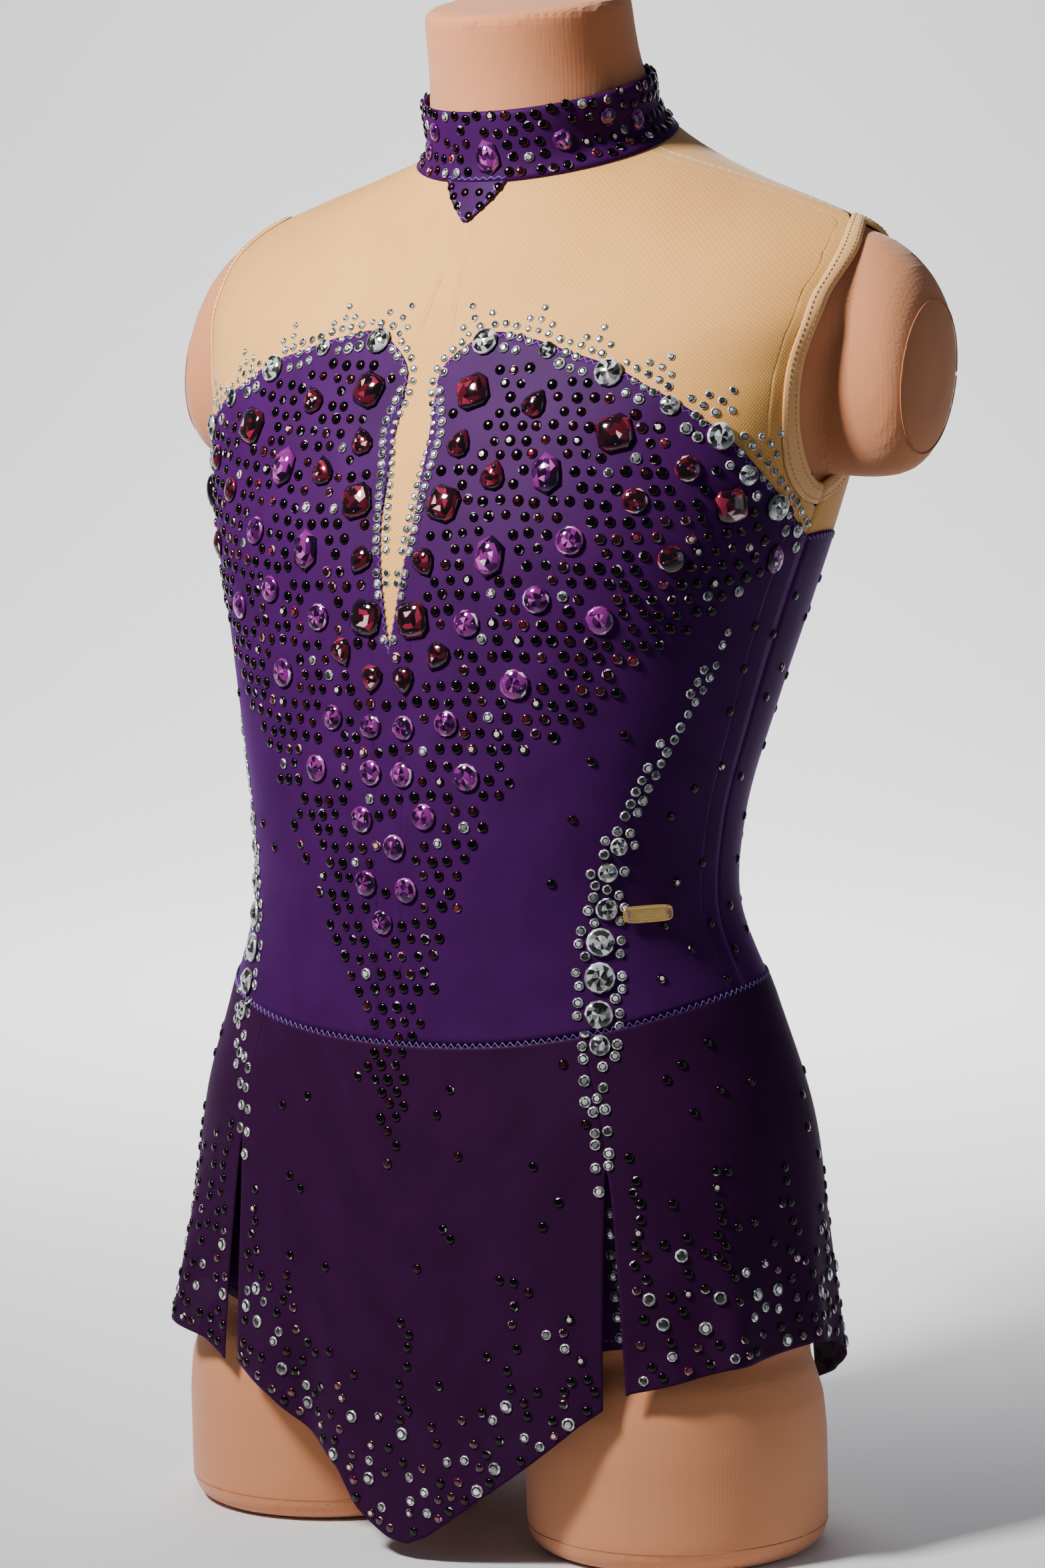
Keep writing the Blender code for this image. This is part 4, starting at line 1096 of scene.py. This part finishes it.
# Height, shift round the body in degrees, and radius
STREAM_LARGE = ((343, 0, 4.4), (331, -1, 4.8), (314, 0.5, 5.4), (299, 0, 6.8), (283.5, 0, 7.4),
                (267.5, 0, 6.8), (253.5, 0.5, 5.0))
SMALL_CLEAR = 2.7
STREAM_GRADE = table("v radius", (204, 2.8), (262, 2.7), (330, 2.6), (390, 2.55), (440, 2.3))
STREAM_ROW = 5.5
STREAM_STEP = 6.0
for side, stream in ((1, LEFT_STREAM), (-1, RIGHT_STREAM)):
    for v, shift, radius in STREAM_LARGE:
        phi = np.interp(v, stream["v"], stream["phi"]) + shift
        sew("clear", "rivoli", on_front, side * phi, v, radius, turned=0.3 * v)
    for v, shift, radius in STREAM_LARGE:
        phi, reach = np.interp(v, stream["v"], stream["phi"]) + shift, radius + SMALL_CLEAR + 0.3
        count = int(2 * np.pi * reach / (2 * SMALL_CLEAR + 0.5))
        around = 2 * np.pi * np.arange(count) / count
        sew("clear", "round", on_front, side * (phi + reach * np.cos(around) / per_degree(phi, v)),
            v + reach * np.sin(around), SMALL_CLEAR * rng.uniform(0.85, 1.0, count), gap=0.15)
    for row, v in enumerate(np.arange(181, 440, STREAM_ROW)):
        phi, width = [np.interp(v, stream["v"], stream[name]) for name in ("phi", "width")]
        count = int(np.clip(round(width * 2 / 5.9), 1, 2 if v > 350 else 3))
        count -= row % 2 if count == 3 else 0
        shifts = (np.arange(count) - (count - 1) / 2) * STREAM_STEP + rng.uniform(-0.4, 0.4, count)
        radius = np.interp(v, STREAM_GRADE["v"], STREAM_GRADE["radius"]) * rng.uniform(0.88, 1.08, count)
        sew("clear", "round", on_front, side * (phi + shifts / per_degree(phi, v)),
            v + 1.4 * (np.arange(count) % 2) + rng.uniform(-0.3, 0.3, count), radius, gap=0.1)

# The ladders go on down the brief inside the slits, where a degree is about 3.3 mm wide
MM_PER_DEGREE = 3.3
for slit in (LEFT_SLIT_PHI, RIGHT_SLIT_PHI):
    for row, v in enumerate(np.arange(112.5, 178, 4.9)):
        shift = min(2.2, slit_opening(v) * MM_PER_DEGREE - 2.1) * (1 if row % 2 else -1)
        sew("clear", "round", on_brief, slit + shift / MM_PER_DEGREE, v, SMALL_CLEAR, gap=0.1)

# Dark flat-backs of the bust and the cascade: staggered rows a stone and a half apart
CASCADE = table(
    "v half_arc", (186, 3), (204, 8), (225, 12), (247, 15), (268, 19), (285, 28), (317, 42),
    (354, 58), (380, 76), (400, 96), (434, 130), (456, 165), (475, 222), (600, 222))
DARK_SPACING = 8.5
ROW_SHARE = 0.87
DARK_MIX = (("garnet", 1, 0.16), ("clear", 1, 0.19), ("black", 1, 1.0))
slit_rows = edge_phi < 6
for row, v in enumerate(np.arange(188, 596, DARK_SPACING * ROW_SHARE)):
    half = np.interp(v, CASCADE["v"], CASCADE["half_arc"])
    arc = np.arange(-230, 230, DARK_SPACING) + (row % 2) * DARK_SPACING / 2
    arc = arc + rng.uniform(-0.9, 0.9, len(arc))
    height = v + rng.uniform(-0.9, 0.9, len(arc)) + 3.0 * np.sin(arc / 34.0)
    ragged = half + rng.uniform(-10, 5, len(arc)) * min(1, half / 40)
    phi = phi_at(arc, v)
    edge = np.interp(np.abs(phi), edge_phi, edge_v)
    slit = np.interp(height, edge_v[slit_rows], edge_phi[slit_rows])
    inside = (np.abs(arc) < ragged) & (height < edge - 10) & (np.abs(phi) < 88)
    inside &= np.abs(phi) > np.where(height > 438, slit + 1.2, 0)
    inside &= np.abs(height - waist_v(phi)) > 2.8
    pick = rng.uniform(0, 1, len(arc))
    radius = rng.choice([2.4, 2.65, 2.85], len(arc))
    sew_mix(DARK_MIX, on_front, phi[inside], height[inside], radius[inside], pick[inside], gap=0.9)

# Single dark stones strewn over the rest of the bodice, thinner towards the back
for first, last in ((35, 180), (-180, -35)):
    phi, v = rng.uniform(first, last, 260), rng.uniform(274, 470, 260)
    top = np.where(np.abs(phi) > 90, back_edge_v((np.abs(phi) - 180) / 90), 600)
    keep = v < top - 8
    sew("black", "round", on_bodice, phi[keep], v[keep], 2.3, gap=12.0)

# Skirt stones: a close band at the hem, small columns rising from it, and few above. The
# columns are at these angles and reach this high above the hem
RISING = {"front": ((-29, 95), (-19, 80), (-8, 50), (2.5, 108), (13, 45), (22, 96), (33, 60)),
          "left": ((45, 112), (55, 60), (66, 95), (78, 50), (88, 85), (104, 60), (120, 80), (133, 60)),
          "right": ((-39, 112), (-46, 100), (-54, 90), (-63, 100), (-72, 80), (-88, 85), (-104, 60),
                    (-120, 80), (-133, 60)),
          "back": ((145, 60), (156, 90), (168, 60), (180, 100), (192, 60), (204, 90), (215, 60))}
# Rows of the hem band: height above the hem, and the share of its places that hold a stone
HEM_ROWS = ((5, 0.95), (13, 0.85), (21.5, 0.7), (31, 0.5), (41, 0.34), (53, 0.2), (66, 0.12))
HEM_STEP = 6.4
SKIRT_MIX = (("clear", 3.3, 0.07), ("clear", 2.5, 0.19), ("garnet", 2.3, 0.36), ("black", 2.4, 1.0))


def hem_angles(panel, height, step):
    """Angles at even steps along a skirt panel, at a height above its hem."""
    base = np.linspace(*SKIRT_SPANS[panel], 400)
    line = skirt_surface(panel, base, hem_z(base, panel) + height)
    length = np.append(0, np.cumsum(np.linalg.norm(np.diff(line, axis=0), axis=1)))
    return np.interp(np.arange(step * 0.55, length[-1] - step * 0.4, step), length, base)


for panel, (start, end) in SKIRT_SPANS.items():
    def on_skirt(base, v, panel=panel):
        """Outer face of this skirt panel."""
        return skirt_surface(panel, base, v, SKIRT_THICKNESS - SINK)

    # The hem band, the rising columns, and a few strewn below the waist
    places = []
    for row, (height, share) in enumerate(HEM_ROWS):
        base = hem_angles(panel, height, HEM_STEP)
        base = base + (rng.uniform(-0.6, 0.6, len(base)) + 0.5 * (row % 2)) * HEM_STEP / MM_PER_DEGREE
        keep = (rng.uniform(0, 1, len(base)) < share) & (base > start + 1.0) & (base < end - 1.0)
        uneven = height + rng.uniform(-3.0, 3.0, len(base)) * (row > 0)
        places.append(np.column_stack([base, uneven])[keep])
    for base, reach in RISING[panel]:
        height = 28 + np.cumsum(rng.uniform(1.5, 6.0, 26))
        height = height[height < reach]
        sway = rng.uniform(-11, 11, len(height)) * (1.15 - height / reach) / 3.0
        places.append(np.column_stack([base + sway, height]))
    base, v = rng.uniform(start + 3, end - 3, 50), rng.uniform(130, 250, 50)
    keep = v < waist_v(base) - 10
    places.append(np.column_stack([base, v - hem_z(base, panel)])[keep][:22])
    base, height = np.concatenate(places).T
    pick = rng.uniform(0, 1, len(base)) + np.where(height > 60, 0.35, 0)
    sew_mix(SKIRT_MIX, on_skirt, base, hem_z(base, panel) + height, np.ones(len(base)), pick, gap=0.9)

# Collar stones: close dark flat-backs with a few clear ones, and large violet ones between. The
# large ones are given by angle, height, cut and radius
COLLAR_LARGE = ((7.5, 671, "long", 7.0), (-29, 681, "rivoli", 4.7), (-40, 671, "rivoli", 4.7),
                (46, 674, "drop", 5.4), (70, 680, "rivoli", 4.6), (91, 673, "long", 5.4),
                (-75, 673, "drop", 5.2), (-120, 676, "rivoli", 4.7), (140, 676, "rivoli", 4.7))
for phi, v, cut, radius in COLLAR_LARGE:
    sew("amethyst", cut, on_collar, phi, v, radius, turned=0.25)
COLLAR_MIX = (("clear", 2.5, 0.07), ("garnet", 2.5, 0.17), ("black", 2.5, 1.0))
COLLAR_STEP = 7.0
for row, v in enumerate(np.arange(663.5, 689.5, 6.2)):
    arc = np.arange(-172, 172, COLLAR_STEP) + (row % 2) * COLLAR_STEP / 2
    phi = phi_at(arc + rng.uniform(-1.2, 1.2, len(arc)), v)
    height = v + rng.uniform(-1.2, 1.2, len(phi))
    pick = rng.uniform(0, 1, len(phi))
    kept = np.abs(phi) < 176
    sew_mix(COLLAR_MIX, on_collar, phi[kept], height[kept], np.ones(kept.sum()), pick[kept], gap=0.5)
for side in (1, -1):
    for v in np.arange(643.5, 659, 4.4):
        half = np.interp(v, COLLAR_POINT["v"], COLLAR_POINT["half_angle"])
        sew("black", "round", on_collar_point, side * max(half - 1.2, 0), v + 0.6, 2.3, gap=0.1)
    sew("black", "round", on_collar_point, side * np.array([3.2, 7.5]), [655.0, 657.5], 2.2, gap=0.2)
sew("clear", "round", on_collar_point, 0, 640.5, 1.9)

STONE_GLASS = {"black": black_glass, "clear": clear_glass, "garnet": garnet_glass,
               "amethyst": amethyst_glass, "thread": thread}
for colour, material in STONE_GLASS.items():
    stone_piece(colour + ("_stones" if colour != "thread" else "_beads"), stones[colour], material,
                "purple_lycra")

# Tag. A plain gold bar with rounded ends and a raised rim, sewn on through a hole at each end.

TAG_LENGTH, TAG_WIDTH, TAG_THICK = 25.0, 8.0, 1.2
TAG_PHI, TAG_V, TAG_TILT = 64, 310, 3
TAG_GAP = 0.9

# Brass: brushed along its length and lacquered, so its highlights are warm, soft and long
brass, tree = new_material("brushed_antique_brass")
place = add(tree, "TexCoord").outputs["Object"]
along = add(tree, "Mapping", Vector=place, Scale=(300, 300, 3000))
brushed = add(tree, "TexNoise", Vector=along.outputs["Vector"], Scale=1.0, Detail=3.0)
tone = ramp(tree, brushed.outputs["Fac"], (0.35, "#DDAA5A"), (0.65, "#F0C678"))
shade(tree, tone, Metallic=0.8, Roughness=0.33)

angle = np.linspace(0, 2 * np.pi, 48, endpoint=False)
TAG_ROUNDING = 0.45
corner = [np.abs(way) ** TAG_ROUNDING * np.sign(way) for way in (np.cos(angle), np.sin(angle))]
TAG_RINGS = ((0.96, 0.0), (1.0, 0.25), (1.0, 0.95), (0.985, TAG_THICK), (0.94, TAG_THICK), (0.915, 0.95),
             (0.9, 0.85))
rings = []
for scale, height in TAG_RINGS:
    inset = (1 - scale) * TAG_LENGTH / 2
    rings.append(np.stack([corner[0] * (TAG_LENGTH / 2 - inset), corner[1] * (TAG_WIDTH / 2 - inset),
                           height + 0 * angle], -1))
spot = surface(TAG_PHI, TAG_V, BODICE_OUT + TAG_GAP)
out = surface(TAG_PHI, TAG_V, 1.0) - surface(TAG_PHI, TAG_V, 0.0)
across = surface(TAG_PHI + 1, TAG_V) - surface(TAG_PHI - 1, TAG_V)
across /= np.linalg.norm(across)
up = np.cross(out, across)
tilt = math.radians(TAG_TILT)
basis = np.stack([across * math.cos(tilt) - up * math.sin(tilt),
                  across * math.sin(tilt) + up * math.cos(tilt), out])
finish(together("brass_tag", [loft(np.array(rings) @ basis + spot)]), brass, "tag_brass", "tag_plate")
TIE_PATH = ((-3.4, -1.0), (-2.0, 1.2), (0, 1.4), (2.0, 1.2), (3.4, -1.0))
ties = [np.array([(x, y, z) for y, z in TIE_PATH]) @ basis + spot for x in (-9.8, 9.8)]
finish(thread_piece("tag_thread", ties, 0.35), thread, "purple_lycra")

# Setting. A pale floor that curves up into a backdrop, a key light high at the wearer's right, a
# weak fill at the left, lamps for the backdrop and the floor behind, and the camera front left.

# Backdrop paper: uncoated, so it gives an even pale ground with soft shadows and no gloss
backdrop_paper, tree = new_material("pale_grey_paper")
shade(tree, linear("#E6E6E6"), Roughness=0.95, Specular_IOR_Level=0.1)

CAMERA_AZIMUTH, CAMERA_ELEVATION, CAMERA_ROLL = 35.0, 7.0, 1.2
CAMERA_DISTANCE = 2.7
CAMERA_TARGET = (0.0, 0.0075, 0.355)
CAMERA_VIEW = 16.0
BACKDROP = table("back z", (-3000, 0), (-1000, 0), (1000, 0), (1500, 0), (1900, 0), (2400, 30),
                 (2700, 120), (2950, 300), (3080, 560), (3120, 900), (3120, 5000))
BACKDROP_ROWS, BACKDROP_COLUMNS = 140, 20
profile = curve_through(BACKDROP, BACKDROP_ROWS)
azimuth = math.radians(CAMERA_AZIMUTH)
away = np.array([-math.sin(azimuth), math.cos(azimuth), 0])
sideways = np.array([math.cos(azimuth), math.sin(azimuth), 0])
wide = np.linspace(-4000, 4000, BACKDROP_COLUMNS)
sheet_points = (profile[:, None, :1] * away + wide[None, :, None] * sideways
                + profile[:, None, 1:] * np.array([0, 0, 1.0]))
backdrop = new_piece("backdrop", sheet_points, grid_faces(BACKDROP_ROWS, BACKDROP_COLUMNS))
backdrop.data.materials.append(backdrop_paper)
backdrop.data.shade_smooth()


def from_target(azimuth, elevation, distance):
    """Place at a distance from the target, by azimuth from the front and elevation in degrees."""
    azimuth, elevation = math.radians(azimuth), math.radians(elevation)
    return Vector(CAMERA_TARGET) + distance * Vector((
        math.sin(azimuth) * math.cos(elevation), -math.cos(azimuth) * math.cos(elevation),
        math.sin(elevation)))


# Lamps: place, what they face, size, power, and spread in degrees
behind = CAMERA_AZIMUTH + 180
FILL_TINT = (0.78, 0.87, 1.0)
LAMPS = (
    ("key", from_target(-22, 45, 1.45), Vector((0, 0, 0.5)), 0.25, 8.0, 70),
    ("fill", from_target(98, 8, 1.9), Vector(CAMERA_TARGET), 1.2, 1.6, 120),
    ("backdrop_lamp", from_target(behind, 36, 2.4), from_target(behind, -4, 3.4), 1.6, 18, 150),
    ("floor_lamp", from_target(behind, 52, 1.9), from_target(behind, -14, 1.9), 1.0, 44, 110))
for name, spot, faced, size, power, spread in LAMPS:
    light = bpy.data.lights.new(name, "AREA")
    light.size, light.energy, light.spread = size, power, math.radians(spread)
    light.color = FILL_TINT if name == "fill" else (1, 1, 1)
    lamp = bpy.data.objects.new(name, light)
    lamp.location = spot
    lamp.rotation_euler = (spot - faced).to_track_quat("Z", "Y").to_euler()
    bpy.context.scene.collection.objects.link(lamp)
world = bpy.data.worlds.new("studio")
world.use_nodes = True
sky = world.node_tree.nodes["Background"].inputs
sky["Color"].default_value, sky["Strength"].default_value = linear("#CBD5EC"), 0.16
bpy.context.scene.world = world

camera = bpy.data.objects.new("camera", bpy.data.cameras.new("camera"))
camera.data.sensor_fit = "VERTICAL"
camera.data.sensor_height = 24
camera.data.lens = 12 / math.tan(math.radians(CAMERA_VIEW / 2))
back = (from_target(CAMERA_AZIMUTH, CAMERA_ELEVATION, 1.0) - Vector(CAMERA_TARGET)).normalized()
right = Vector((math.cos(math.radians(CAMERA_AZIMUTH)), math.sin(math.radians(CAMERA_AZIMUTH)), 0))
upward = back.cross(right)
roll = math.radians(CAMERA_ROLL)
rolled_right = right * math.cos(roll) - upward * math.sin(roll)
rolled_up = upward * math.cos(roll) + right * math.sin(roll)
camera.matrix_world = (Matrix.Translation(from_target(CAMERA_AZIMUTH, CAMERA_ELEVATION, CAMERA_DISTANCE))
                       @ Matrix((rolled_right, rolled_up, back)).transposed().to_4x4())
bpy.context.scene.collection.objects.link(camera)
bpy.context.scene.camera = camera
